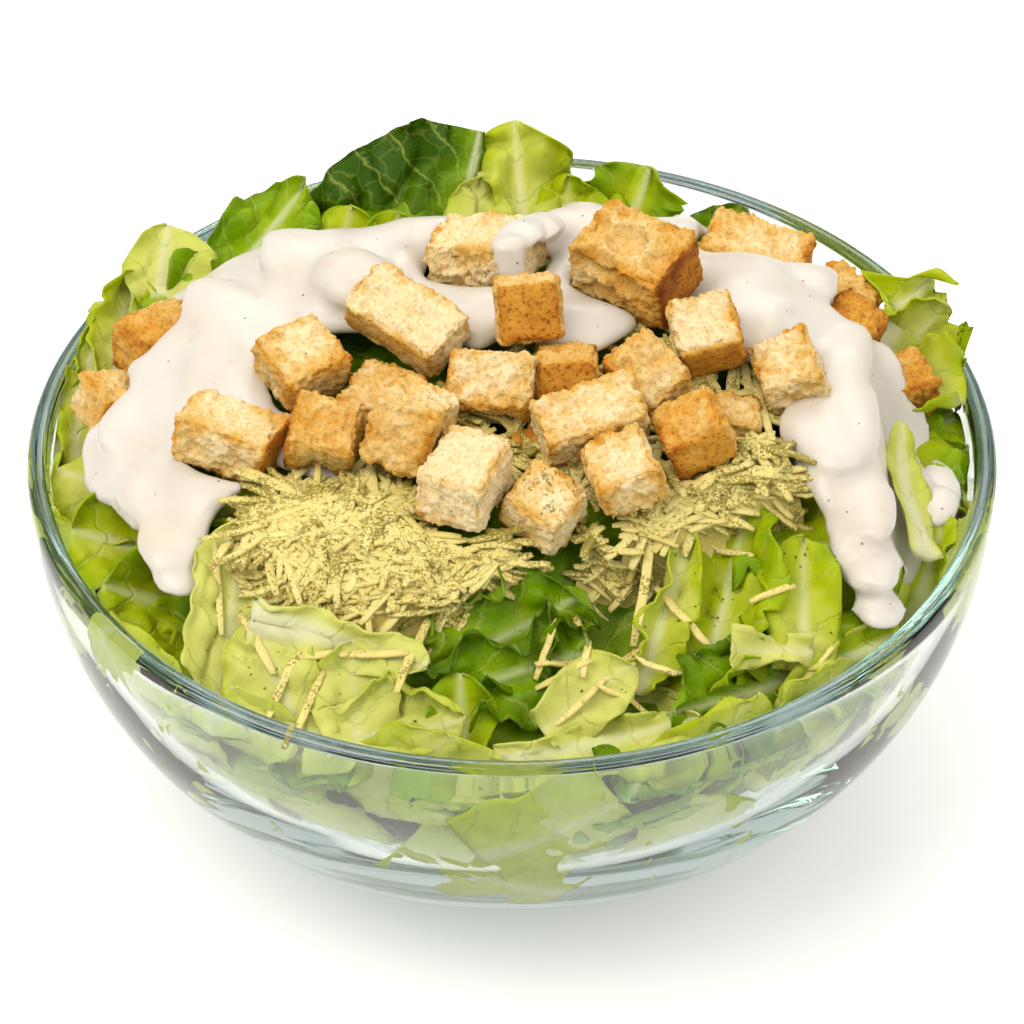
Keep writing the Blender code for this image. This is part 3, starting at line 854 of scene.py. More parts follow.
def thickened(grid: np.ndarray, thick: np.ndarray, values: dict[str, np.ndarray]) -> Shape:
    """Turn a grid of points into a closed sheet.

    Args:
        grid: rows and columns of points on the upper side.
        thick: the thickness at each point.
        values: named values at each point.

    Returns:
        The closed surface, made of quads.
    """
    rows, columns = grid.shape[:2]
    normal = unit(np.cross(np.gradient(grid, axis=1), np.gradient(grid, axis=0)))
    top = grid + normal * (0.4 * thick)[..., None]
    low = grid - normal * (0.6 * thick)[..., None]
    index = np.arange(rows * columns).reshape(rows, columns)
    upper = np.stack([index[:-1, :-1], index[:-1, 1:], index[1:, 1:], index[1:, :-1]], axis=-1)
    upper = upper.reshape(-1, 4)
    count = rows * columns
    border = np.concatenate([index[0, :-1], index[:-1, -1], index[-1, :0:-1], index[:0:-1, 0]])
    after = np.roll(border, -1)
    rim = np.stack([after, border, border + count, after + count], axis=1)
    doubled = {
        name: np.concatenate([data.reshape(count, *data.shape[2:])] * 2)
        for name, data in values.items()
    }
    points = np.concatenate([top.reshape(-1, 3), low.reshape(-1, 3)])
    return Shape(points, np.concatenate([upper, upper[:, ::-1] + count, rim]), doubled)


@dataclass(frozen=True)
class WallPatch:
    """The inside of the glass as a sheet that leaves can be pressed against."""

    bowl: Bowl
    press: float = 0.25
    samples: int = 200

    def lay(self, grid: np.ndarray, bearing: float, height: float, spin: float) -> np.ndarray:
        """Press a flat leaf against the inside of the wall.

        Args:
            grid: points with x and y on the flat and z away from the glass.
            bearing: direction of the leaf's middle, in degrees.
            height: height over the rim of its middle.
            spin: turn of the leaf on the glass, in degrees.

        Returns:
            The points in the bowl.
        """
        wall = self.bowl.curve(RIM_RADIUS - self.bowl.wall, self.bowl.inner_depth,
                               np.linspace(0.001, 0.999, self.samples))
        run = np.concatenate([[0.0], np.cumsum(np.linalg.norm(np.diff(wall, axis=0), axis=1))])
        start = np.interp(-height, -wall[:, 1], run)
        a = math.radians(spin)
        x, y, away = grid[..., 0], grid[..., 1], grid[..., 2]
        side = x * math.cos(a) - y * math.sin(a)
        along = start - (x * math.sin(a) + y * math.cos(a))
        r = np.interp(along, run, wall[:, 0])
        z = np.interp(along, run, wall[:, 1]) - np.minimum(along, 0.0)
        slope = np.gradient(wall, run, axis=0)
        down_r = np.interp(along, run, slope[:, 0])
        down_z = np.interp(along, run, slope[:, 1])
        middle_r = max(float(np.interp(start, run, wall[:, 0])), 20.0)
        turn = math.radians(bearing) + side / np.maximum(0.5 * (r + middle_r), 15.0)
        depth = np.maximum(away, -self.press)
        inward = r + down_z * depth
        return np.stack([inward * np.cos(turn), inward * np.sin(turn), z - down_r * depth], axis=-1)


@dataclass(frozen=True)
class Romaine:
    """The heap of cut romaine: leaves that stand out, leaves that fill, and the core."""

    bowl: Bowl
    surface: Probe
    covered: Probe
    core_share: float = 0.88
    core_drop: float = 4.0
    under_cheese: float = 3.0
    ring_count: int = 56
    wall_count: int = 54

    BACK = (
        Leaf((-14, 46, -14), (-6, 68.5, 20.5), (-100, 35), 58, 6, Cut.WEDGE, 0.0, ruffle=2.0, blister=1.1,
             curl=(30, 10), bend=-12, fold=4, rib=0.8, step=0.8, lobes=0.06),
        Leaf((3, 48, 0), (0.5, 70, 22), (-90, 36), 10, 10, pale=0.6, ruffle=4.4, blister=2.4, bend=14,
             fold=8, rib=0.3, step=0.6, point=0.7, lobes=0.42),
        Leaf((-6, 49, 0), (-6.5, 62, 15.5), (-80, 40), 7, 7, Cut.HEART, 0.7, ruffle=2.4, blister=1.5,
             rib=0.25, step=0.65, lobes=0.3),
        Leaf((9, 48, 0), (11, 62, 15), (-100, 40), 7, 8, Cut.HEART, 0.62, ruffle=2.4, blister=1.3, rib=0.25,
             step=0.65, lobes=0.3),
        Leaf((18, 48, -2), (27, 67, 13), (-95, 40), 12, 8, pale=0.34, ruffle=3.4, blister=1.3,
             curl=(0, 70), rib=0.35, lobes=0.3),
        Leaf((12, 50, -1), (17, 65, 11), (-85, 44), 6, 7, pale=0.5, ruffle=3.0, blister=1.1, rib=0.3,
             lobes=0.3),
        Leaf((28, 50, 0), (46, 62, 6), (-90, 60), 6, 6, pale=0.14, ruffle=2.6, blister=1.0, rib=0.4,
             lobes=0.3),
        Leaf((-34, 46, 2), (-31, 57, 11), (-90, 40), 6, 7, Cut.HEART, 0.42, ruffle=3.0, rib=0.3, step=0.6,
             lobes=0.35),
        Leaf((-25, 47, 2), (-22, 56, 10.5), (-75, 42), 6, 6, Cut.HEART, 0.4, ruffle=3.0, rib=0.3, step=0.6,
             lobes=0.35),
        Leaf((-60, 30, 4), (-40, 60, 13.5), (-100, 52), 11, 12, pale=0.26, ruffle=2.8, blister=1.2,
             bend=10, fold=6, rib=0.4, step=0.7, lobes=0.32, point=0.8),
        Leaf((-68, 24, 3), (-66, 50, 12), (-85, 52), 7, 9, pale=0.92, ruffle=1.8, blister=0.7, bend=25,
             fold=18, rib=0.6, lobes=0.25),
    )
    LEFT = (
        Leaf((-76, 12, -4), (-72, 40, 8), (-55, 45), 7, 7, pale=0.66, ruffle=2.2, blister=0.8, fold=25,
             rib=0.5, lobes=0.25),
        Leaf((-80, 12, -6), (-78, 36, 4), (-60, 42), 5, 7, pale=0.6, ruffle=2.0, fold=20, lobes=0.2),
        Leaf((-80, -6, -9), (-82, 20, 0), (-55, 35), 3.5, 4, Cut.STRIP, 0.66, ruffle=0.8, rib=0.4),
        Leaf((-84.5, 0, -6), (-85, 19, 0), (-40, 30), 1.4, 1.4, Cut.RIB, 1.0, ruffle=0.3, rib=0.5),
        Leaf((-62, -16, -7), (-84, -8, -1), (-50, 62), 13, 11, pale=0.72, ruffle=3.6, blister=1.2,
             bend=-25, rib=0.35, lobes=0.3),
        Leaf((-60, -28, -7), (-80, -26, 0), (-60, 55), 12, 11, pale=0.6, ruffle=3.8, blister=1.2,
             bend=-20, rib=0.35, lobes=0.3),
        Leaf((-56, -40, -9), (-73, -43, 1.5), (-70, 50), 11, 12, pale=0.5, ruffle=3.4, blister=1.2,
             bend=-15, rib=0.35, dust=0.3, lobes=0.3),
    )
    FRONT = (
        Leaf((-52, -68, -10), (-48, -38, 11), (-78, 45), 9, 12, pale=0.95, ruffle=1.8, blister=0.9,
             bend=-24, fold=24, rib=0.35, dust=0.4),
        Leaf((-36, -75, -8), (-46, -55, 4), (-95, 46), 9, 9, pale=0.8, ruffle=1.8, blister=0.9,
             bend=-20, fold=12, rib=0.3, dust=0.3),
        Leaf((-46, -57, 6), (-15, -68, 4.5), (-86, 34), 5, 6.5, pale=0.94, ruffle=1.5, blister=0.6,
             bend=40, fold=24, rib=1.3, dust=0.1, lobes=0.14),
        Leaf((-36, -74, -7), (-8, -76, -1.0), (-90, 58), 10, 6, pale=0.82, ruffle=2.2, bend=24,
             curl=(95, 0), rib=0.3, dust=0.1),
        Leaf((-27, -77, -9), (-28, -63, 6), (-90, 40), 8, 8, Cut.HEART, 0.86, ruffle=2.0, rib=0.25),
        Leaf((-20, -65, -4), (13, -51, 6.5), (-95, 48), 10, 9.5, pale=0.14, ruffle=3.8, blister=2.2,
             curl=(60, 20), rib=0.3, bend=14, lobes=0.26),
        Leaf((-19, -69, -4), (14, -60, 1), (-90, 44), 9, 9, pale=0.1, ruffle=3.0, blister=1.6,
             curl=(60, 40), rib=0.3, lobes=0.16),
        Leaf((-9, -76, -9), (-9, -66, 1), (-90, 40), 7, 6, pale=0.4, ruffle=2.4, rib=0.3),
        Leaf((-3, -78, -9), (33, -74, -2), (-90, 58), 3.5, 7, pale=0.84, ruffle=2.4, blister=1.0, bend=24,
             rib=0.4, dust=0.1, lobes=0.2),
        Leaf((5, -73, -6), (21, -66, 3), (-90, 46), 7, 7, Cut.HEART, 0.84, ruffle=2.6, rib=0.25),
        Leaf((22, -66, -4), (32, -40, 11), (-70, 40), 5.5, 6.5, pale=0.62, ruffle=1.8, fold=45, rib=0.4),
        Leaf((33, -66, -4), (42, -33, 12), (-112, 34), 7, 11, pale=0.5, ruffle=1.8, blister=1.2,
             fold=26, rib=0.3, lobes=0.1),
        Leaf((51, -61, -3), (52, -39, 9), (-84, 45), 8, 7.5, pale=0.6, ruffle=2.0, blister=0.9,
             bend=-20, rib=0.25),
        Leaf((70, -51, -4), (27, -74, -1.5), (-88, 56), 9, 10, pale=0.24, ruffle=2.4, blister=1.9,
             bend=30, curl=(30, 30), rib=0.35, dust=0.1, lobes=0.12),
        Leaf((53, -60, 0.5), (38, -63, 4.0), (-90, 50), 3.5, 4, Cut.STRIP, 0.98, ruffle=1.8, rib=0.2,
             lobes=0.3),
        Leaf((70, -46, -9), (79, -23, 1), (-130, 40), 4.5, 5.5, pale=0.5, ruffle=1.4, fold=35, rib=0.4),
    )
    RIGHT = (
        Leaf((66, 17, 4), (80, 38, 9.5), (-60, 52), 5.5, 20, pale=0.66, ruffle=4.8, blister=1.7,
             curl=(40, 40), rib=1.6, lobes=0.22, step=0.75),
        Leaf((72, 18, 1), (84, 9, 1), (-60, 52), 9, 10, pale=0.6, ruffle=4.0, blister=1.2, rib=0.3,
             lobes=0.3),
        Leaf((76, 26, 2), (82, 30, 9), (-70, 40), 8, 7, Cut.HEART, 0.66, ruffle=4.0, rib=0.25, lobes=0.3),
        Leaf((79, -4, -11), (76, 9, 0), (-60, 40), 4, 4.5, pale=0.26, ruffle=2.0, rib=0.3, lobes=0.3),
        Leaf((80, 0, -8), (85, 3, -4), (-60, 50), 3, 3, Cut.HEART, 0.24, ruffle=2.2, rib=0.2, step=0.5,
             lobes=0.4),
        Leaf((74, -37, 3.2), (71.5, -5, 8.2), (-50, 35), 4, 4.6, pale=0.86, ruffle=0.5, blister=0.3,
             rib=0.9),
    )

    # Bearings where the heap stands clear of the glass: middle, half width, how far inside
    CLEARINGS = ((46.0, 26.0, 0.24), (170.0, 20.0, 0.13), (118.0, 12.0, 0.1))
    # Bearings and reach where only the leaves of the right side lie
    RIGHT_ONLY = (5.0, 34.0, 56.0)

    def clearing(self, points: np.ndarray) -> np.ndarray:
        """Return what share of the radius stays free of fill beside the glass."""
        bearing = np.degrees(np.arctan2(points[..., 1], points[..., 0]))
        free = np.zeros(bearing.shape)
        for middle, half, share in self.CLEARINGS:
            free = np.maximum(free, share * smooth(half - np.abs(bearing - middle), 0.0, half * 0.5))
        return free

    def kept_inside(self, shape: Shape, flare: float) -> Shape:
        """Push back whatever of a leaf would pass through the glass.

        Args:
            shape: the leaf.
            flare: how far it may lean out over the rim, per mm above it.

        Returns:
            The same leaf, inside the bowl.
        """
        points = shape.points
        reach = np.hypot(points[:, 0], points[:, 1])
        height = points[:, 2]
        most = self.bowl.inner_radius(np.minimum(height, -0.5)) - 0.3 + flare * np.maximum(height, 0.0)
        points[:, :2] *= np.minimum(1.0, most / np.maximum(reach, 1.0))[:, None]
        return shape

    @staticmethod
    def sunk(y: np.ndarray) -> np.ndarray:
        """Return how much lower the fill lies at the front and the back, under the larger leaves."""
        y = np.asarray(y, float)
        return 12.0 * smooth(-y, 38.0, 56.0) + 10.0 * smooth(y, 34.0, 50.0)

    def kept_low(self, shape: Shape, give: float) -> Shape:
        """Press whatever of a leaf stands too high back towards the heap's surface."""
        points = shape.points
        ground = np.array([self.surface.height(x, y, 0.0) for x, y in points[:, :2]])
        ground -= self.sunk(points[:, 1])
        over = points[:, 2] - ground
        points[:, 2] = np.where(over > 0.0, ground + give * np.tanh(over / give), points[:, 2])
        return shape

    def ring_leaves(self) -> list[Shape]:
        """Fill the outer ring of the heap with leaves that lie unevenly on it."""
        dice = np.random.default_rng(SEED + 1)
        shapes: list[Shape] = []
        tries = 0
        while len(shapes) < self.ring_count and tries < 4000:
            tries += 1
            bearing = dice.uniform(-180.0, 180.0)
            reach = RIM_RADIUS * math.sqrt(dice.uniform(0.3, 0.8))
            x, y = reach * math.cos(math.radians(bearing)), reach * math.sin(math.radians(bearing))
            hit = self.surface.drop(x, y)
            first, last, inner = self.RIGHT_ONLY
            if hit is None or (first < bearing < last and reach > inner):
                continue
            if self.covered.height(x, y) > hit[0][2] - 0.5:
                continue
            middle = hit[0] - [0.0, 0.0, dice.uniform(2.5, 8.0) + self.sunk(y)]
            heading = toward(bearing + dice.uniform(-80.0, 80.0), dice.uniform(-14.0, 16.0))
            length = dice.uniform(26.0, 44.0)
            leaf = Leaf(
                tuple(middle - heading * length / 2.0), tuple(middle + heading * length / 2.0),
                (dice.uniform(-180.0, 180.0), dice.uniform(50.0, 88.0)),
                dice.uniform(10.0, 16.0), dice.uniform(10.0, 16.0),
                dice.choice([Cut.TIP, Cut.TIP, Cut.TIP, Cut.HEART]),
                dice.uniform(0.25, 0.85), dice.uniform(-25.0, 25.0), dice.uniform(5.0, 24.0),
                (dice.uniform(-20.0, 80.0), dice.uniform(-20.0, 80.0)),
                dice.uniform(1.2, 3.0), dice.uniform(0.4, 1.1), dice.uniform(0.1, 0.6),
                dust=float(dice.choice([0.0, 0.3])), step=1.15, lobes=0.14,
            )
            shape = self.kept_low(leaf.shape(400 + tries), 1.6)
            high = smooth(shape.points[:, 2], -22.0, -8.0)
            reach = np.hypot(shape.points[:, 0], shape.points[:, 1])
            most = (RIM_RADIUS - 5.0) * (1.0 - high * self.clearing(shape.points))
            shape.points[:, :2] *= np.minimum(1.0, most / np.maximum(reach, 1.0))[:, None]
            shapes.append(self.kept_inside(shape, 0.0))
        return shapes

    def wall_leaves(self) -> list[Shape]:
        """Press leaves against the inside of the glass, some right on it."""
        dice = np.random.default_rng(SEED + 2)
        patch = WallPatch(self.bowl)
        shapes = []
        for i in range(self.wall_count):
            length = dice.uniform(26.0, 44.0)
            leaf = Leaf(
                (0.0, -length / 2.0, 0.0), (0.0, length / 2.0, 0.0), (0.0, 90.0),
                dice.uniform(9.0, 16.0), dice.uniform(9.0, 16.0),
                dice.choice([Cut.TIP, Cut.STRIP, Cut.STRIP, Cut.HEART]),
                dice.uniform(0.6, 1.0), dice.uniform(-8.0, 14.0), dice.uniform(0.0, 10.0),
                (dice.uniform(-10.0, 35.0), dice.uniform(-10.0, 35.0)),
                dice.uniform(0.5, 1.6), dice.uniform(0.3, 0.7), dice.uniform(0.1, 0.7), step=1.4,
            )
            grid, thick, values = leaf.sheet(700 + i)
            layer = i % 3
            grid = grid + [0.0, 0.0, 0.4 + 2.6 * layer]
            bearing = 360.0 * i / self.wall_count * 5.0 + dice.uniform(-12.0, 12.0)
            height = dice.uniform(-38.0, -12.0)
            laid = patch.lay(grid, bearing, height, dice.uniform(-70.0, 70.0))
            top = -0.5 - 110.0 * self.clearing(laid)
            laid[..., 2] = np.minimum(laid[..., 2], top + 0.1 * (laid[..., 2] - top))
            shapes.append(thickened(laid, thick, values))
        return shapes

    def core(self) -> bpy.types.Mesh:
        """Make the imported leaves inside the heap: the solid, smaller, wrinkled all over."""
        node = frame["nodes"]["lettuce"].data.copy()
        mesh = evaluated(node, ("REMESH", {"mode": "VOXEL", "voxel_size": 0.0022}))
        points = read_mesh(mesh)
        points *= [self.core_share, self.core_share, 1.0]
        noise = Noise(SEED + 3)
        away = unit(points - [0.0, 0.0, -20.0])
        folds = np.abs(noise.at(points, 11.0, 3))
        points += away * (3.4 * folds - 1.5)[:, None]
        cheese = Probe(frame["nodes"]["parmesan"].data)
        under = np.array([cheese.has(x, y) for x, y in points[:, :2]])
        points[:, 2] -= self.core_drop + 0.6 * self.sunk(points[:, 1]) + self.under_cheese * under
        points[:, 2] = np.maximum(points[:, 2], -49.0 + 2.0 * folds)
        faces = np.array([tuple(poly.vertices) for poly in mesh.polygons])
        count = len(points)
        values = {
            "lay": points, "pale": np.clip(0.1 + 0.4 * folds, 0.0, 0.7),
            "rib": np.zeros(count), "dust": np.zeros(count),
        }
        return write_mesh("romaine_core", Shape(points, faces, values))

    def build(self) -> list[bpy.types.Mesh]:
        """Make all the leaves and the core."""
        material = RomaineLeaf().material()
        meshes = []
        seed = 20
        groups = {"romaine_back": self.BACK, "romaine_left": self.LEFT,
                  "romaine_front": self.FRONT, "romaine_right": self.RIGHT}
        for name, leaves in groups.items():
            shapes = [self.kept_inside(leaf.shape(seed + i), 0.5) for i, leaf in enumerate(leaves)]
            seed += len(leaves)
            meshes.append(write_mesh(name, join(shapes)))
        meshes.append(write_mesh("romaine_fill", join(self.ring_leaves())))
        meshes.append(write_mesh("romaine_at_glass", join(self.wall_leaves())))
        meshes.append(self.core())
        for mesh in meshes:
            nodes = ("lettuce",) if mesh.name == "romaine_core" else ()
            add_piece(mesh.name, mesh, material, "lettuce", *nodes)
        return meshes


# ------------------------------------------------------------------ croutons

@dataclass(frozen=True)
class ToastedBread:
    """White bread, cubed and oven toasted with oil and herbs.

    The eye sees a dry open crumb, cream where it was pulled apart, gold at the
    edges and brown on the crust.
    """

    scorched: str = "#7A3F10"
    brown: str = "#BA7420"
    gold: str = "#D39A38"
    straw: str = "#DFBA6C"
    cream: str = "#EFDBAA"
    herb: str = "#6C6818"
    crumb_grain: float = 0.8
    herb_spacing: float = 1.4
    herb_pull: float = 2.2

    def material(self) -> bpy.types.Material:
        """Build the material from each point's toasting with its painted light and shade, pores and herbs;
        the pits are painted darker as painted shade.
        """
        material, tree, output = new_material("toasted_bread")
        toast_and_shade, herbs, crust = (attribute(tree, name) for name in ("toast_and_shade", "herbs", "crust"))
        place = add_node(tree, "ShaderNodeTexCoord").outputs["Object"]
        patch = cloud(tree, place, 3.0 * MM, 4.0, 0.6)
        shift = maths(tree, "SUBTRACT", patch.outputs[0], 0.5)
        tone = maths(tree, "MULTIPLY_ADD", shift, 0.34, toast_and_shade)
        stops = [(0.06, self.cream), (0.28, self.straw), (0.52, self.gold), (0.76, self.brown),
                 (1.0, self.scorched)]
        bread = add_node(tree, "ShaderNodeValToRGB", {0: tone}, stops=stops)
        grain = cloud(tree, place, self.crumb_grain * MM, 2.0, 0.55)
        pits = spread(tree, grain.outputs[0], (0.33, 0.47))
        shade = spread(tree, grain.outputs[0], (0.33, 0.46), (1.0, 0.0))
        # The pits are painted darker, as painted shade, less on the cut crumb than on the crust, which is
        # pricked all over
        depth = maths(tree, "MULTIPLY_ADD", crust, 0.35, 0.5)
        pit_shade_share = maths(tree, "MULTIPLY", shade, depth)
        # The painted shade in the pits is a toastier colour from the same ramp
        pit_shade_tone = maths(tree, "ADD", tone, 0.3)
        inside = add_node(tree, "ShaderNodeValToRGB", {0: pit_shade_tone}, stops=stops)
        crumb_with_pit_shade = blend(tree, pit_shade_share, bread.outputs[0], inside.outputs[0])
        # Rubbed herbs are ragged, so the cells are pulled out of shape first
        ragged = cloud(tree, place, 0.8 * MM)
        pulled = add_node(tree, "ShaderNodeVectorMath", {
            0: ragged.outputs["Color"], 1: (self.herb_pull * MM,) * 3,
        }, operation="MULTIPLY")
        wandering = add_node(tree, "ShaderNodeVectorMath", {0: place, 1: pulled.outputs[0]}, operation="ADD")
        flakes = add_node(tree, "ShaderNodeTexVoronoi", {
            "Vector": wandering.outputs[0], "Scale": 1.0 / (self.herb_spacing * MM),
        })
        near = maths(tree, "MULTIPLY_ADD", flakes.outputs["Distance"], -2.5, 0.62)
        flake_share = spread(tree, maths(tree, "ADD", near, herbs), (0.52, 0.66), (0.0, 0.72))
        colour = blend(tree, flake_share, crumb_with_pit_shade, self.herb)
        crumbs = cloud(tree, place, 0.5 * MM, 1.0)
        height = maths(tree, "MULTIPLY_ADD", pits, 0.8, crumbs.outputs[0])
        crumb = add_node(tree, "ShaderNodeBsdfPrincipled", {
            "Base Color": colour, "Roughness": 0.82, "IOR": 1.45, "Specular IOR Level": 0.25,
            "Normal": bump(tree, height, 0.55, 0.4),
        })
        tree.links.new(crumb.outputs[0], output.inputs["Surface"])
        return material


class Side(Enum):
    """A side of a crouton, by the direction that it looks to."""

    RIGHT = (1.0, -0.25, 0.0)
    LEFT = (-1.0, -0.25, 0.0)
    FRONT = (0.0, -1.0, -0.2)
    TOP = (0.0, -0.1, 1.0)


@dataclass(frozen=True)
class Crouton:
    """One bread cube: how toasted it is, which sides are crust, and its herbs and holes."""

    number: int
    toast_and_shade: float = 0.2
    crust: tuple[Side, ...] = ()
    browned: float = 0.4
    herbs: float = 0.0
    herb_side: Side | None = None
    holes: tuple[tuple[Side, float, float, float], ...] = ()

    STEP = 0.47
    EDGE = 1.5
    GROW = 0.3
    # Surface that one pore takes, in square millimetres
    PORE_AREA = 0.85

    @property
    def node(self) -> str:
        """Name of the solid that the crouton stands for."""
        return f"crouton_{self.number:02d}"

    def axes(self) -> tuple[np.ndarray, np.ndarray, np.ndarray]:
        """Find the solid's middle, its three directions and half sides."""
        mesh = frame["nodes"][self.node].data
        points = read_mesh(mesh)
        faces = sorted(((poly.area, tuple(poly.normal)) for poly in mesh.polygons), reverse=True)
        first = np.array(faces[0][1])
        second = next(np.array(n) for _, n in faces if abs(np.array(n) @ first) < 0.3)
        second = unit(second - first * (second @ first))
        turn = np.stack([first, second, np.cross(first, second)])
        local = points @ turn.T
        low, high = local.min(axis=0), local.max(axis=0)
        return ((low + high) / 2.0) @ turn, turn, (high - low) / 2.0

    def grid(self, half: np.ndarray) -> tuple[np.ndarray, np.ndarray]:
        """Lay a grid over all six sides of a box.

        Args:
            half: the box's half sides.

        Returns:
            Points on the box, and faces.
        """
        counts = np.maximum((2.0 * half / self.STEP).astype(int), 4)
        seen: dict[tuple[int, int, int], int] = {}
        cells = []
        faces = []
        for axis in range(3):
            b, c = (axis + 1) % 3, (axis + 2) % 3
            for end in (0, counts[axis]):
                index = np.empty((counts[b] + 1, counts[c] + 1), int)
                for i in range(counts[b] + 1):
                    for j in range(counts[c] + 1):
                        key = [0, 0, 0]
                        key[axis], key[b], key[c] = int(end), i, j
                        if tuple(key) not in seen:
                            seen[tuple(key)] = len(cells)
                            cells.append(tuple(key))
                        index[i, j] = seen[tuple(key)]
                quads = np.stack([index[:-1, :-1], index[1:, :-1], index[1:, 1:], index[:-1, 1:]], axis=-1)
                quads = quads.reshape(-1, 4)
                faces.append(quads if end else quads[:, ::-1])
        points = np.array(cells) / counts * 2.0 - 1.0
        return points * half, np.concatenate(faces)

    def shape(self) -> Shape:
        """Build the uneven, porous cube over its solid."""
        middle, turn, half = self.axes()
        half = half + self.GROW
        dice = np.random.default_rng(SEED * 100 + self.number)
        noise = Noise(SEED * 100 + self.number)
        flat, faces = self.grid(half)
        inner = half - self.EDGE
        kept = np.clip(flat, -inner, inner)
        normal = unit(flat - kept)
        points = kept + self.EDGE * normal
        edge_gap = np.sort(half - np.abs(flat), axis=1)[:, 1]
        edge = np.exp(-edge_gap / 1.9)
        world = normal @ turn
        crust = np.zeros(len(flat))
        for side in self.crust:
            best = self.facing(turn, side)
            crust = np.maximum(crust, smooth(normal @ best, 0.55, 0.95))
        coarse = noise.at(points, 7.0)
        middle_bumps = noise.at(points + 30.0, 2.4, 2)
        fine = noise.at(points + 60.0, 1.0)
        push = (0.45 * coarse + 0.08 * middle_bumps + 0.08 * fine
                + edge * (0.5 * np.abs(fine) - 0.6 * noise.at(points + 90.0, 2.6) - 0.1))
        area = 8.0 * float(half[0] * half[1] + half[1] * half[2] + half[2] * half[0])
        pore = np.zeros(len(flat))
        count = int(area / self.PORE_AREA)
        spots = points[dice.integers(0, len(points), count)]
        sizes = np.clip(dice.lognormal(-0.72, 0.45, count), 0.36, 1.7)
        for spot, size in zip(spots, sizes):
            away = np.linalg.norm((points - spot) * dice.uniform(0.75, 1.25, 3), axis=1) / size
            pore = np.maximum(pore, np.where(away < 1.0, (1.0 - away ** 2) * min(size, 1.3), 0.0))
        pore *= 1.0 - 0.75 * crust
        for side, right, up, size in self.holes:
            spot, stretch = self.hole_place(turn, half, side, right, up)
            away = np.linalg.norm((points - spot) * stretch, axis=1) / size
            bowl = np.sqrt(np.maximum(1.0 - away ** 2, 0.0))
            pore = np.maximum(pore, np.where(away < 1.0, bowl * 1.3 * size, 0.0))
        points = points + normal * (push - 0.95 * pore)[:, None]
        patches = noise.at(points + 140.0, 4.5, 2)
        toast_and_shade = (self.toast_and_shade - 0.12 + edge * (0.24 + 0.3 * patches) + self.browned * crust
                 + 0.16 * coarse + 0.08 * middle_bumps)
        # Pore hollows are painted toastier, as painted shade, and faces that look up are painted paler, as
        # painted light from above
        toast_and_shade += 0.1 * smooth(pore, 0.1, 0.6) - 0.06 * np.clip(world[:, 2], 0.0, 1.0)
        herbs = np.full(len(flat), self.herbs)
        if self.herb_side:
            toward_side = self.facing(turn, self.herb_side)
            herbs += 0.62 * smooth(normal @ toward_side, 0.3, 0.85) * (0.7 + 0.7 * noise.at(points, 3.0))
        placed = points @ turn + middle
        return Shape(placed, faces, {"toast_and_shade": np.clip(toast_and_shade, 0.0, 1.0), "herbs": herbs, "crust": crust})

    @staticmethod
    def facing(turn: np.ndarray, side: Side) -> np.ndarray:
        """Return the outward axis, in the crouton's own directions, nearest to a side's."""
        wanted = turn @ unit(np.array(side.value))
        best = int(np.argmax(np.abs(wanted)))
        axis = np.zeros(3)
        axis[best] = math.copysign(1.0, wanted[best])
        return axis

    def hole_place(
        self, turn: np.ndarray, half: np.ndarray, side: Side, right: float, up: float,
    ) -> tuple[np.ndarray, np.ndarray]:
        """Return the middle of a large hole and how it is stretched.

        Args:
            turn: the crouton's directions.
            half: its half sides.
            side: the side that the hole is in.
            right: place across the side, from -1 to 1.
            up: place up the side, from -1 to 1.

        Returns:
            The place in the crouton's own directions, and shares of stretch.
        """
        out = self.facing(turn, side)
        wide = turn @ np.array([1.0, 0.0, 0.0])
        wide = unit(wide - out * float(wide @ out))
        high = np.cross(out, wide)
        high = high if (turn.T @ high)[2] > 0 else -high
        spot = out * half + (wide * right + high * up) * half
        return spot, 1.0 - 0.35 * np.abs(wide)


CROUTONS = (
    Crouton(1, 0.33, (Side.RIGHT,), 0.55, 0.12, holes=(
        (Side.TOP, -0.1, 0.05, 3.0), (Side.FRONT, -0.45, 0.7, 3.4), (Side.TOP, 0.45, -0.6, 2.2),
        (Side.FRONT, 0.25, 0.5, 2.6), (Side.TOP, -0.6, 0.5, 2.0), (Side.FRONT, -0.2, -0.3, 2.0))),
    Crouton(2, 0.2, (), 0.3, 0.14, Side.FRONT),
    Crouton(3, 0.16, (Side.FRONT,), 0.28, 0.08),
    Crouton(4, 0.3, (), 0.3, 0.1),
    Crouton(5, 0.3, (Side.RIGHT,), 0.35, 0.1),
    Crouton(6, 0.4, (Side.LEFT,), 0.3, 0.04),
    Crouton(7, 0.34, (), 0.3, 0.08),
    Crouton(8, 0.26, (), 0.3, 0.08),
    Crouton(9, 0.1, (), 0.3, 0.16),
    Crouton(10, 0.22, (), 0.3, 0.16, Side.TOP),
    Crouton(11, 0.3, (Side.FRONT,), 0.42, 0.02),
    Crouton(12, 0.2, (Side.LEFT,), 0.35, 0.02),
    Crouton(13, 0.42, (Side.FRONT,), 0.25, 0.04),
    Crouton(14, 0.62, (Side.FRONT,), 0.25, 0.02),
    Crouton(15, 0.2, (), 0.3, 0.05),
    Crouton(16, 0.22, (), 0.3, 0.05),
    Crouton(17, 0.45, (Side.FRONT,), 0.22, 0.04),
    Crouton(18, 0.3, (Side.LEFT,), 0.3, 0.1),
    Crouton(19, 0.16, (Side.FRONT, Side.RIGHT), 0.42, 0.02),
    Crouton(20, 0.24, (), 0.3, 0.08),
    Crouton(21, 0.3, (Side.RIGHT,), 0.25, 0.06),
    Crouton(22, 0.48, (), 0.3, 0.02),
    Crouton(23, 0.58, (Side.RIGHT,), 0.2, 0.02),
    Crouton(24, 0.26, (Side.RIGHT,), 0.45, 0.04),
    Crouton(25, 0.44, (), 0.3, 0.06),
    Crouton(26, 0.5, (), 0.3, 0.02),
    Crouton(27, 0.4, (), 0.3, 0.02),
)


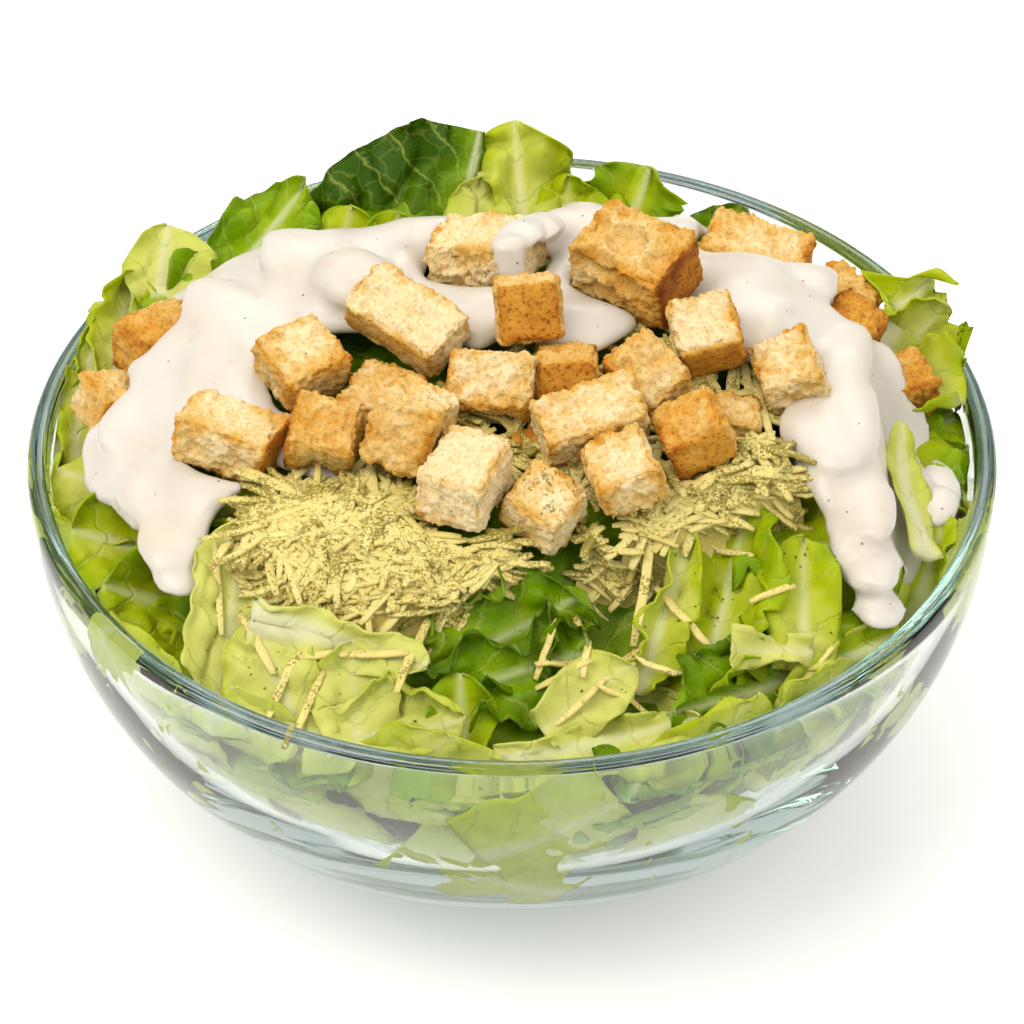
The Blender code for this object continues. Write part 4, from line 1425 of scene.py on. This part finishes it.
def build_croutons() -> list[bpy.types.Mesh]:
    """Build every crouton in place of its solid."""
    bread = ToastedBread().material()
    meshes = []
    for crouton in CROUTONS:
        mesh = write_mesh(f"bread_cube_{crouton.number:02d}", crouton.shape())
        add_piece(mesh.name, mesh, bread, "bread", crouton.node)
        meshes.append(mesh)
    return meshes


# ------------------------------------------------------------------ dressing

@dataclass(frozen=True)
class CaesarDressing:
    """Thick emulsion of oil, yolk and cheese.

    Warm white with a wet skin; light softens inside it, and ground pepper and
    anchovy show as few dark and rosy specks.
    """

    cream: str = "#DAD6CC"
    shade: str = "#D3CAB6"
    rosy: str = "#CFA596"
    pepper: str = "#4B4238"
    speck_spacing: float = 4.6

    def material(self) -> bpy.types.Material:
        """Build the material."""
        material, tree, output = new_material("caesar_dressing")
        place = add_node(tree, "ShaderNodeTexCoord").outputs["Object"]
        drifts = cloud(tree, place, 16.0 * MM)
        share = spread(tree, drifts.outputs[0], (0.42, 0.72), (0.0, 0.8))
        colour = blend(tree, share, self.cream, self.shade)
        for tint, spacing, low, high, strength in (
            (self.rosy, 1.35, 0.03, 0.22, 0.28), (self.pepper, 1.0, 0.035, 0.075, 0.75),
        ):
            cells = add_node(tree, "ShaderNodeTexVoronoi", {
                "Vector": place, "Scale": 1.0 / (self.speck_spacing * spacing * MM),
            })
            spot = spread(tree, cells.outputs["Distance"], (low, high), (strength, 0.0))
            colour = blend(tree, spot, colour, tint)
        ripple = cloud(tree, place, 5.0 * MM)
        cream = add_node(tree, "ShaderNodeBsdfPrincipled", {
            "Base Color": colour, "Roughness": 0.34, "IOR": 1.46, "Specular IOR Level": 0.5,
            "Normal": bump(tree, ripple.outputs[0], 0.25, 0.6),
        })
        tree.links.new(cream.outputs[0], output.inputs["Surface"])
        return material


@dataclass(frozen=True)
class Dressing:
    """The poured dressing: thick pools with rolled edges, folds and drips."""

    skin: float = 0.95
    fine_skin: float = 0.4
    swell: float = 0.9
    wave: float = 1.9
    dents: float = 0.5
    fold: float = 1.3

    # Extra spoonfuls: x, y, height above what lies there, radii across, along and up, turn
    POOL_BLOBS = (
        (-61, -40, -0.2, 6.5, 8.0, 2.2, 10), (-59, -47, -1.0, 5.0, 5.0, 1.8, 0),
        (-66, -28, -0.4, 5, 8, 2.6, 20), (-70, -8, -0.6, 5, 10, 2.4, -15), (-52, 14, 0.0, 8, 13, 2.6, 35),
        (-36, 26, 0.2, 8, 14, 2.4, 60), (-29, 17, 1.9, 8, 8, 3.6, 0), (-23.5, 12, 1.6, 5, 5, 3.2, 0),
        (14, 38, -0.2, 6, 10, 2.2, 90),
        (52, 22, -0.4, 7, 10, 2.6, 110), (61, 2, -0.4, 5.5, 13, 2.6, 172), (62, -14, 0.0, 5.5, 14, 2.8, 180),
        (63, -32, 0.0, 6, 12, 2.6, 186), (64, -44, -0.4, 5.6, 8.5, 2.6, 190),
        (65, -50, -1.0, 4.8, 5.4, 2.4, 180), (56, -18, 0.0, 6, 12, 2.4, 200),
        (-38, -20, 0.0, 7, 11, 2.4, 40), (-50, -6, 0.0, 6, 14, 2.4, 20),
    )
    # The same for the spoonful that hangs over a crouton, with y from just behind its front edge
    CROUTON_BLOBS = (
        (5.6, 11.0, -0.2, 5.0, 4.6, 1.3, 0), (4.0, 8.4, 0.1, 4.8, 4.4, 1.1, 0),
        (2.0, 5.6, 0.3, 4.4, 4.0, 1.1, 0), (0.4, 3.0, 0.4, 4.0, 3.4, 1.2, 0),
        (-0.6, 0.8, 0.2, 3.6, 2.8, 1.4, 0), (-0.6, -0.8, -1.4, 3.2, 1.7, 2.2, 0),
        (-0.2, -1.6, -4.0, 2.7, 1.5, 2.8, 0), (0.6, -2.1, -7.0, 2.0, 1.3, 2.6, 0),
    )
    DRIP_BLOBS = (
        (79, -10, 0.0, 4, 7, 2.4, 10), (78, -20, -0.4, 4, 6, 2.2, -10),
    )

    @staticmethod
    def slump(points: np.ndarray) -> np.ndarray:
        """Return how far the pool sinks between the leaves at its back and beside the glass."""
        x, y = points[:, 0], points[:, 1]
        back = 46.0 - 0.004 * (x + 20.0) ** 2
        beside_glass = smooth(x, 65.5, 70.5) * smooth(y, -42.0, -34.0) * smooth(8.0 - y, 0.0, 8.0)
        return 9.0 * smooth(y, back - 8.0, back + 6.0) * smooth(14.0 - x, 0.0, 16.0) + 12.0 * beside_glass

    def blob(self, over: Probe, spec: tuple[float, ...], seed: int, edge: float = -90.0) -> Shape:
        """Make one flattened spoonful where it lands.

        Args:
            over: what it lands on.
            spec: x, y, height above, radii across, along and up, and turn.
            seed: seed of its unevenness.
            edge: the y at which what it lands on ends; beyond that it hangs from there.

        Returns:
            A closed surface of quads.
        """
        x, y, above, wide, long_, high, turn = spec
        rings, around = 11, 20
        polar = np.linspace(0.06, math.pi - 0.06, rings)[:, None]
        azimuth = np.linspace(0.0, 2.0 * math.pi, around, endpoint=False)[None]
        ball = np.stack([np.sin(polar) * np.cos(azimuth), np.sin(polar) * np.sin(azimuth),
                         np.cos(polar) * np.ones_like(azimuth)], axis=-1)
        ball *= 1.0 + 0.18 * Noise(seed).at(ball * 2.0 + seed, 1.0)[..., None]
        a = math.radians(turn)
        px, py, pz = ball[..., 0] * wide, ball[..., 1] * long_, ball[..., 2] * high
        top = over.height(x, max(y, edge))
        points = np.stack([x + px * math.cos(a) - py * math.sin(a), y + px * math.sin(a) + py * math.cos(a),
                           top + above + pz], axis=-1)
        index = np.arange(rings * around).reshape(rings, around)
        after = np.roll(index, -1, axis=1)
        quads = np.stack([index[:-1], index[1:], after[1:], after[:-1]], axis=-1).reshape(-1, 4)
        caps = []
        for ring, flip in ((index[0], False), (index[-1], True)):
            half = around // 2
            for i in range(half - 1):
                quad = [ring[i], ring[i + 1], ring[around - 2 - i], ring[around - 1 - i]]
                caps.append(quad[::-1] if flip else quad)
        return Shape(points.reshape(-1, 3), np.concatenate([quads, np.array(caps)]))

    @staticmethod
    def skinned(name: str, shape: Shape, width: float, rounds: int) -> bpy.types.Mesh:
        """Melt surfaces that run into one another into one smooth skin.

        Args:
            name: the mesh's name.
            shape: the surfaces.
            width: the width of the skin's faces.
            rounds: how often it is smoothed.

        Returns:
            The finished mesh.
        """
        rough = write_mesh(name, shape)
        mesh = evaluated(rough, ("REMESH", {"mode": "VOXEL", "voxel_size": width * MM}),
                         ("SMOOTH", {"factor": 0.5, "iterations": rounds}))
        bpy.data.meshes.remove(rough)
        mesh.name = name
        mesh.shade_smooth()
        return mesh

    def poured(self, name: str, node: str, blobs: tuple[tuple[float, ...], ...], over: Probe,
               seed: int) -> bpy.types.Mesh:
        """Make one body of dressing from its solid and its spoonfuls.

        Args:
            name: the mesh's name.
            node: the solid that it follows.
            blobs: the extra spoonfuls.
            over: what the spoonfuls land on.
            seed: seed of the waves.

        Returns:
            The finished mesh.
        """
        base = frame["nodes"][node].data.copy()
        round_base = evaluated(base, ("REMESH", {"mode": "VOXEL", "voxel_size": 1.1 * MM}),
                               ("SMOOTH", {"factor": 0.5, "iterations": 12}))
        points = read_mesh(round_base)
        noise = Noise(seed)
        normals = np.array([tuple(vert.normal) for vert in round_base.vertices])
        up = smooth(normals[:, 2], -0.2, 0.5)
        folds = 1.0 - np.abs(noise.at(points * [1.3, 0.8, 1.0], 17.0))
        move = self.swell + up * (self.wave * noise.at(points, 15.0, 2) + self.dents * noise.at(points, 6.0)
                                  + self.fold * (folds ** 4 - 0.4))
        points = points + normals * move[:, None]
        points[:, 2] -= self.slump(points)
        faces = np.array([tuple(poly.vertices) for poly in round_base.polygons])
        shapes = [Shape(points, faces)] + [self.blob(over, spec, seed + i) for i, spec in enumerate(blobs)]
        return self.skinned(name, join(shapes), self.skin, 14)

    def build(self, surface: Probe, croutons: Probe) -> list[bpy.types.Mesh]:
        """Pour the main pool, the smear on the glass and the spoonful on a crouton."""
        material = CaesarDressing().material()
        nodes = frame["nodes"]
        on_heap = Probe(nodes["lettuce"].data, nodes["dressing"].data)
        made = [
            (self.poured("dressing_pool", "dressing", self.POOL_BLOBS, on_heap, SEED + 40), ("dressing",)),
            (self.poured("dressing_smear", "dressing_drip", self.DRIP_BLOBS, surface, SEED + 60),
             ("dressing_drip",)),
        ]
        # The spoonful starts a little behind the crouton's front edge
        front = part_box("crouton_02")[0].y / MM + 3.0
        spoonful = join([self.blob(croutons, (spec[0], front + spec[1], *spec[2:]), 900 + i, front)
                         for i, spec in enumerate(self.CROUTON_BLOBS)])
        made.append((self.skinned("dressing_on_crouton", spoonful, self.fine_skin, 26), ()))
        for mesh, stands_for in made:
            add_piece(mesh.name, mesh, material, "dressing", *stands_for)
        return [mesh for mesh, _ in made]


# ------------------------------------------------------------------ parmesan and herbs

@dataclass(frozen=True)
class Parmesan:
    """Hard cheese, shredded on a grater: waxy pale yellow, dusted with ground herbs."""

    light: str = "#EADD8E"
    deep: str = "#CFBA52"
    herb: str = "#A08A1C"
    dark_herb: str = "#5A560E"

    def material(self) -> bpy.types.Material:
        """Build the material; the dust lies in drifts."""
        material, tree, output = new_material("shredded_parmesan")
        place = add_node(tree, "ShaderNodeTexCoord").outputs["Object"]
        dust, tone = (attribute(tree, name) for name in ("dust", "tone"))
        # Tone differs at random on the shreds; on the bed its deeper yellow is painted shade
        body = blend(tree, tone, self.light, self.deep)
        grains = cloud(tree, place, 0.5 * MM, 2.0, 0.6)
        drifts = cloud(tree, place, 7.0 * MM, 1.0)
        wide = maths(tree, "MULTIPLY_ADD", drifts.outputs[0], 0.9, dust)
        amount = maths(tree, "ADD", grains.outputs[0], wide)
        share = spread(tree, amount, (1.05, 1.17), (0.0, 0.8))
        kinds = cloud(tree, place, 0.9 * MM)
        herb = blend(tree, kinds.outputs[0], self.herb, self.dark_herb)
        cheese = add_node(tree, "ShaderNodeBsdfPrincipled", {
            "Base Color": blend(tree, share, body, herb), "Roughness": 0.5, "IOR": 1.45,
            "Specular IOR Level": 0.35, "Normal": bump(tree, grains.outputs[0], 0.4, 0.2),
        })
        tree.links.new(cheese.outputs[0], output.inputs["Surface"])
        return material


@dataclass(frozen=True)
class DriedHerb:
    """Dried parsley and oregano, rubbed to flakes: dull olive green, quite dark."""

    light: str = "#97842A"
    dark: str = "#454410"

    def material(self) -> bpy.types.Material:
        """Build the material."""
        material, tree, output = new_material("dried_herbs")
        place = add_node(tree, "ShaderNodeTexCoord").outputs["Object"]
        kinds = cloud(tree, place, 1.1 * MM)
        colour = blend(tree, spread(tree, kinds.outputs[0], (0.35, 0.65)), self.light, self.dark)
        flake = add_node(tree, "ShaderNodeBsdfPrincipled", {
            "Base Color": colour, "Roughness": 0.8, "Specular IOR Level": 0.2,
        })
        tree.links.new(flake.outputs[0], output.inputs["Surface"])
        return material


@dataclass(frozen=True)
class GratedParmesan:
    """Shreds of parmesan that lie flat on a bed of fine crumbs and herbs."""

    heap_count: int = 420
    crumb_count: int = 420
    tucked_count: int = 320
    spilled_count: int = 150
    layers: int = 4
    layer_rise: float = 0.4
    bed_drop: float = 0.7
    bed_step: float = 0.75
    lengths: tuple[float, float] = (7.0, 16.0)
    long_share: float = 0.3
    long_lengths: tuple[float, float] = (15.0, 22.0)
    short_lengths: tuple[float, float] = (5.0, 9.0)
    crumb_lengths: tuple[float, float] = (1.2, 3.6)
    widths: tuple[float, float] = (1.15, 1.8)
    thickness: float = 0.75
    slices: int = 6
    fallen: float = -30.0

    # Shreds that lie alone on the front leaves: x, y, length, turn in degrees
    STRAYS = (
        (-28, -65, 20, -6), (-17, -64, 22, 74), (-36, -72, 13, 62), (-52, -50, 15, 96), (-45, -60, 14, -62),
        (23, -50, 19, 80), (30, -54, 17, -50), (14, -58, 12, -60), (10, -62, 13, 24), (17, -67, 12, 40),
        (9, -66, 10, 10), (20, -70, 11, -12), (52, -62, 13, 42), (12, -70, 10, 30), (-40, -68, 11, 60),
        (16, -63, 8, -30), (6, -62, 9, 65), (19, -60, 9, 15), (13, -64, 7, 80),
        (38, -40, 12, -35), (26, -64, 9, -20), (46, -52, 9, 24),
    )

    # The front edge of the heap: x against y
    FRONT_EDGE = ((-60, -45, -30, -12, 0, 12, 20, 31, 46, 60),
                  (-47, -55, -57, -55, -50, -45, -45, -42, -33, -28))

    def past_edge(self, x: np.ndarray, y: np.ndarray) -> np.ndarray:
        """Return how far in front of the heap's edge a place is."""
        return np.interp(x, *self.FRONT_EDGE) - np.asarray(y, float)

    def strip(self, line: np.ndarray, side: np.ndarray, width: float, dust: float, tone: float) -> Shape:
        """Make one shred along a line.

        Args:
            line: points along its middle.
            side: direction across it.
            width: its width.
            dust: how much herb dust lies on it.
            tone: 0 pale to 1 deep yellow.

        Returns:
            A closed bar with cut corners.
        """
        count = len(line)
        t = np.linspace(-1.0, 1.0, count)[:, None]
        w, h, c = width / 2.0, self.thickness / 2.0, 0.18
        ring = np.array([(-w + c, -h), (w - c, -h), (w, -h + c), (w, h - c), (w - c, h), (-w + c, h),
                         (-w, h - c), (-w, -h + c)])
        taper = 1.0 - 0.35 * np.abs(t) ** 6
        points = (line[:, None] + side * (ring[:, 0] * taper)[..., None]
                  + np.array([0.0, 0.0, 1.0]) * (ring[:, 1] * taper)[..., None])
        index = np.arange(count * 8).reshape(count, 8)
        after = np.roll(index, -1, axis=1)
        walls = np.stack([index[:-1], after[:-1], after[1:], index[1:]], axis=-1).reshape(-1, 4)
        caps = []
        for row, flip in ((index[0], True), (index[-1], False)):
            for quad in ((row[0], row[1], row[2], row[7]), (row[7], row[2], row[3], row[6]),
                         (row[6], row[3], row[4], row[5])):
                caps.append(quad[::-1] if flip else quad)
        number = count * 8
        return Shape(points.reshape(-1, 3), np.concatenate([walls, np.array(caps)])[:, ::-1],
                     {"dust": np.full(number, dust), "tone": np.full(number, tone)})

    @staticmethod
    def no_fall(flat: np.ndarray) -> np.ndarray:
        """Return no fall at all, for what lies straight on a surface."""
        return np.zeros(len(flat))

    def fall(self, flat: np.ndarray) -> np.ndarray:
        """Return how much lower than its solid the cheese lies at some places."""
        return self.sunk(flat[:, 1]) + 4.0 * smooth(self.past_edge(flat[:, 0], flat[:, 1]), -9.0, 2.0)

    def bed_fall(self, flat: np.ndarray) -> np.ndarray:
        """Return how much lower than its solid the bed lies at some places."""
        return self.bed_drop + self.sunk(flat[:, 1]) + self.slope(self.past_edge(flat[:, 0], flat[:, 1]))

    def lie(self, ground: Probe, lower: Callable[[np.ndarray], np.ndarray], place: tuple[float, float],
            length: float, turn: float, above: float, dice: np.random.Generator, dust: float) -> Shape:
        """Lay one shred along what is under it, without following every dip.

        Args:
            ground: what it lies on.
            lower: how much lower than that the ground is taken to be, by place.
            place: x and y of its middle.
            length: its length.
            turn: its direction in degrees.
            above: how far it lies above the ground.
            dice: source of its small differences.
            dust: how much herb dust lies on it.

        Returns:
            The shred.
        """
        a = math.radians(turn)
        along, side = np.array([math.cos(a), math.sin(a)]), np.array([-math.sin(a), math.cos(a), 0.0])
        t = np.linspace(-1.0, 1.0, self.slices)
        bend = dice.uniform(-0.5, 0.5) * (1.0 - t ** 2)
        flat = np.array(place) + along * (length / 2.0 * t)[:, None] + side[:2] * bend[:, None]
        found = np.array([ground.height(x, y, np.nan) for x, y in flat]) - lower(flat)
        found = np.where(np.isnan(found), np.nanmedian(found), found)
        tilt, level_at = np.polyfit(t, found, 1)
        line = level_at + float(np.clip(tilt, -0.3 * length, 0.3 * length)) * t
        gap = float(np.percentile(found - line, 75))
        level = line + gap + np.clip((found - line - gap) * 0.25, -0.7, 0.4)
        level += above + dice.uniform(-0.35, 0.35) * t * min(length / 8.0, 1.0)
        points = np.column_stack([flat, level])
        return self.strip(points, side, dice.uniform(*self.widths), dust, dice.uniform(0.0, 0.4))

    @staticmethod
    def slope(out: np.ndarray) -> np.ndarray:
        """Return how far the heap falls away around its front edge."""
        return 3.0 * smooth(out, -7.0, -1.0) + 16.0 * smooth(out, -2.0, 4.0)

    @staticmethod
    def sunk(y: np.ndarray) -> np.ndarray:
        """Return how much lower the cheese lies towards the front."""
        return 4.0 * smooth(-np.asarray(y, float), 38.0, 54.0)

    def bed(self) -> Shape:
        """Make the crumbs and dust that the shreds lie on: the solid, finely pitted, painted a deeper yellow
        away from the front edge as painted shade between the shreds.
        """
        mesh = evaluated(frame["nodes"]["parmesan"].data.copy(),
                         ("REMESH", {"mode": "VOXEL", "voxel_size": self.bed_step * MM}),
                         ("SMOOTH", {"factor": 0.5, "iterations": 4}))
        points = read_mesh(mesh)
        noise = Noise(SEED + 82)
        normals = np.array([tuple(vert.normal) for vert in mesh.vertices])
        rough = 0.5 * noise.at(points, 4.0) + 0.55 * noise.at(points, 1.4)
        points = points + normals * rough[:, None]
        out = self.past_edge(points[:, 0], points[:, 1])
        points[:, 2] -= self.bed_fall(points[:, :2])
        faces = np.array([tuple(poly.vertices) for poly in mesh.polygons])
        # The herb dust thickens away from the front edge, and the bed is painted a deeper yellow there, as
        # painted shade between the shreds
        return Shape(points, faces, {"dust": 0.3 * smooth(-out, 2.0, 8.0),
                                     "tone": 0.45 + 0.4 * smooth(-out, 3.0, 9.0)})

    def crumbs(self, cheese: Probe, low: np.ndarray, high: np.ndarray,
               dice: np.random.Generator) -> list[Shape]:
        """Scatter broken ends of shreds over the bed."""
        shapes: list[Shape] = []
        while len(shapes) < self.crumb_count:
            x, y = dice.uniform(low[0], high[0]), dice.uniform(low[1], high[1])
            if not cheese.has(x, y) or self.past_edge(x, y) > dice.uniform(-4.0, 1.0):
                continue
            shapes.append(self.lie(cheese, self.fall, (x, y), dice.uniform(*self.crumb_lengths),
                                   dice.uniform(0.0, 180.0), dice.uniform(-0.4, 0.5), dice,
                                   dice.uniform(0.0, 0.2)))
        return shapes

    def spilled(self, cheese: Probe, dice: np.random.Generator) -> list[Shape]:
        """Lay shreds along the steep front edge of the heap, so that the bed hardly shows there."""
        shapes: list[Shape] = []
        while len(shapes) < self.spilled_count:
            x, out = dice.uniform(-58.0, 54.0), dice.uniform(-2.5, 3.2)
            before, after = np.interp([x - 3.0, x + 3.0], *self.FRONT_EDGE)
            y = (before + after) / 2.0 - out
            if not cheese.has(x, y):
                continue
            turn = math.degrees(math.atan2(after - before, 6.0)) + dice.normal(0.0, 24.0)
            shapes.append(self.lie(cheese, self.bed_fall, (x, y), dice.uniform(*self.short_lengths), turn,
                                   dice.uniform(0.2, 0.9), dice, dice.uniform(0.0, 0.15)))
        return shapes

    def tucked(self, dice: np.random.Generator) -> list[Shape]:
        """Scatter shreds that show between the croutons."""
        nodes = frame["nodes"]
        ground = Probe(nodes["lettuce"].data, nodes["parmesan"].data)
        covered = Probe(nodes["dressing"].data)
        shapes: list[Shape] = []
        while len(shapes) < self.tucked_count:
            x, y = dice.uniform(-34.0, 58.0), dice.uniform(-34.0, 14.0)
            if covered.height(x, y) > ground.height(x, y) or y > 14.0 - 0.012 * (x - 30.0) ** 2:
                continue
            shapes.append(self.lie(ground, self.no_fall, (x, y), dice.uniform(*self.lengths),
                                   dice.uniform(0.0, 180.0), dice.uniform(0.2, 1.2), dice,
                                   dice.uniform(0.0, 0.2)))
        return shapes

    def build(self, ground: Probe) -> bpy.types.Mesh:
        """Lay the bed and all the shreds."""
        dice = np.random.default_rng(SEED + 80)
        cheese = Probe(frame["nodes"]["parmesan"].data)
        low, high = (np.array(corner)[:2] / MM - RIM_MIDDLE[:2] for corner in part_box("parmesan"))
        shapes = [self.bed()]
        laid = 0
        while laid < self.heap_count:
            x, y = dice.uniform(low[0] - 1.0, high[0] + 1.0), dice.uniform(low[1] - 1.0, high[1] + 1.0)
            past = self.past_edge(x, y)
            if not cheese.has(x, y) or past > dice.uniform(-3.5, 1.5):
                continue
            share = laid / self.heap_count
            span = self.long_lengths if dice.random() < self.long_share and past < -8.0 else self.lengths
            if past > -5.0 or x > 42.0:
                span = self.short_lengths
            above = int(share * self.layers) * self.layer_rise - 1.0
            turn = dice.uniform(0.0, 180.0)
            if past > -6.0:
                turn = 90.0 + (turn - 90.0) ** 3 / 90.0 ** 2 + 90.0
            shapes.append(self.lie(cheese, self.fall, (x, y), dice.uniform(*span), turn, above, dice,
                                   dice.uniform(-0.02, 0.2)))
            laid += 1
        shapes += self.crumbs(cheese, low, high, dice)
        shapes += self.tucked(dice)
        shapes += self.spilled(cheese, dice)
        for x, y, length, turn in self.STRAYS:
            if ground.drop(x, y):
                shapes.append(self.lie(ground, self.no_fall, (x, y), length, turn, 0.3, dice, 0.0))
        # A shred that missed the heap and fell is left out
        shapes = [shape for shape in shapes if shape.points[:, 2].min() > self.fallen]
        mesh = write_mesh("parmesan_shreds", join(shapes))
        add_piece(mesh.name, mesh, Parmesan().material(), "parmesan", "parmesan")
        return mesh


@dataclass(frozen=True)
class HerbFlakes:
    """Rubbed dried herbs: small bent flakes, thick on the cheese and sparse elsewhere."""

    on_cheese: int = 2300
    elsewhere: int = 130
    sizes: tuple[float, float] = (0.25, 0.7)

    def flake(self, place: np.ndarray, normal: np.ndarray, dice: np.random.Generator, scale: float) -> Shape:
        """Make one flake, a thin three-sided chip, lying on a surface."""
        size = dice.uniform(*self.sizes) * scale
        lean = unit(normal + dice.normal(0.0, 0.35, 3))
        first = unit(np.cross(lean, dice.normal(0.0, 1.0, 3)))
        second = np.cross(lean, first)
        angles = dice.uniform(0.0, 2.0 * math.pi) + np.array([0.0, 2.0, 4.1]) + dice.uniform(-0.4, 0.4, 3)
        reach = size * dice.uniform(0.35, 0.8, 3)
        corners = (place + first * (np.cos(angles) * reach)[:, None]
                   + second * (np.sin(angles) * reach)[:, None])
        peak = place + lean * 0.22
        points = np.vstack([corners, peak])
        return Shape(points, np.array([[0, 1, 3], [1, 2, 3], [2, 0, 3], [0, 2, 1]]))

    def build(self, top: Probe) -> bpy.types.Mesh:
        """Sprinkle the flakes on what shows from above."""
        dice = np.random.default_rng(SEED + 90)
        low, high = (np.array(corner)[:2] / MM - RIM_MIDDLE[:2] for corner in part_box("parmesan"))
        cheese, covered = Probe(frame["nodes"]["parmesan"].data), Probe(frame["nodes"]["dressing"].data)
        heap = GratedParmesan()
        drifts = Noise(SEED + 91)
        shapes = []
        tries = 0
        while len(shapes) < self.on_cheese and tries < 30000:
            tries += 1
            x, y = dice.uniform(low[0] - 4.0, high[0] + 4.0), dice.uniform(low[1] - 6.0, high[1] + 4.0)
            drift = drifts.at(np.array([[x, y, 0.0]]), 9.0)[0]
            bare = (not cheese.has(x, y) or cheese.height(x, y) < covered.height(x, y)
                    or heap.past_edge(x, y) > 1.0)
            if dice.random() > 0.45 + 0.8 * drift or (bare and dice.random() > 0.03):
                continue
            hit = top.drop(x, y)
            if hit and hit[0][2] < cheese.height(x, y, 0.0) + 2.5:
                shapes.append(self.flake(hit[0] + hit[1] * 0.05, hit[1], dice, 1.0))
        for _ in range(self.elsewhere):
            reach, turn = 84.0 * math.sqrt(dice.random()), dice.uniform(0.0, 2.0 * math.pi)
            x, y = reach * math.cos(turn), reach * math.sin(turn)
            if y > -20.0 and dice.random() > 0.35:
                continue
            hit = top.drop(x, y)
            if hit and hit[0][2] > -20.0:
                shapes.append(self.flake(hit[0] + hit[1] * 0.05, hit[1], dice, 0.65))
        mesh = write_mesh("herb_flakes", join(shapes))
        add_piece(mesh.name, mesh, DriedHerb().material(), "parmesan")
        return mesh


# ------------------------------------------------------------------ assembly

def main() -> None:
    """Build every part of the salad in order."""
    logging.basicConfig(level=logging.INFO, format="%(message)s")
    nodes = frame["nodes"]
    Studio().build()
    bowl = Bowl()
    bowl.build()
    surface = Probe(nodes["lettuce"].data)
    toppings = Probe(*(nodes[name].data for name in nodes if name not in ("lettuce", "bowl")))
    leaves = Romaine(bowl, surface, toppings).build()
    croutons = build_croutons()
    dressing = Dressing().build(surface, Probe(*croutons))
    below = Probe(*leaves, *croutons, *dressing)
    cheese = GratedParmesan().build(below)
    HerbFlakes().build(Probe(*leaves, *croutons, *dressing, cheese))


if __name__ == "__main__":
    main()
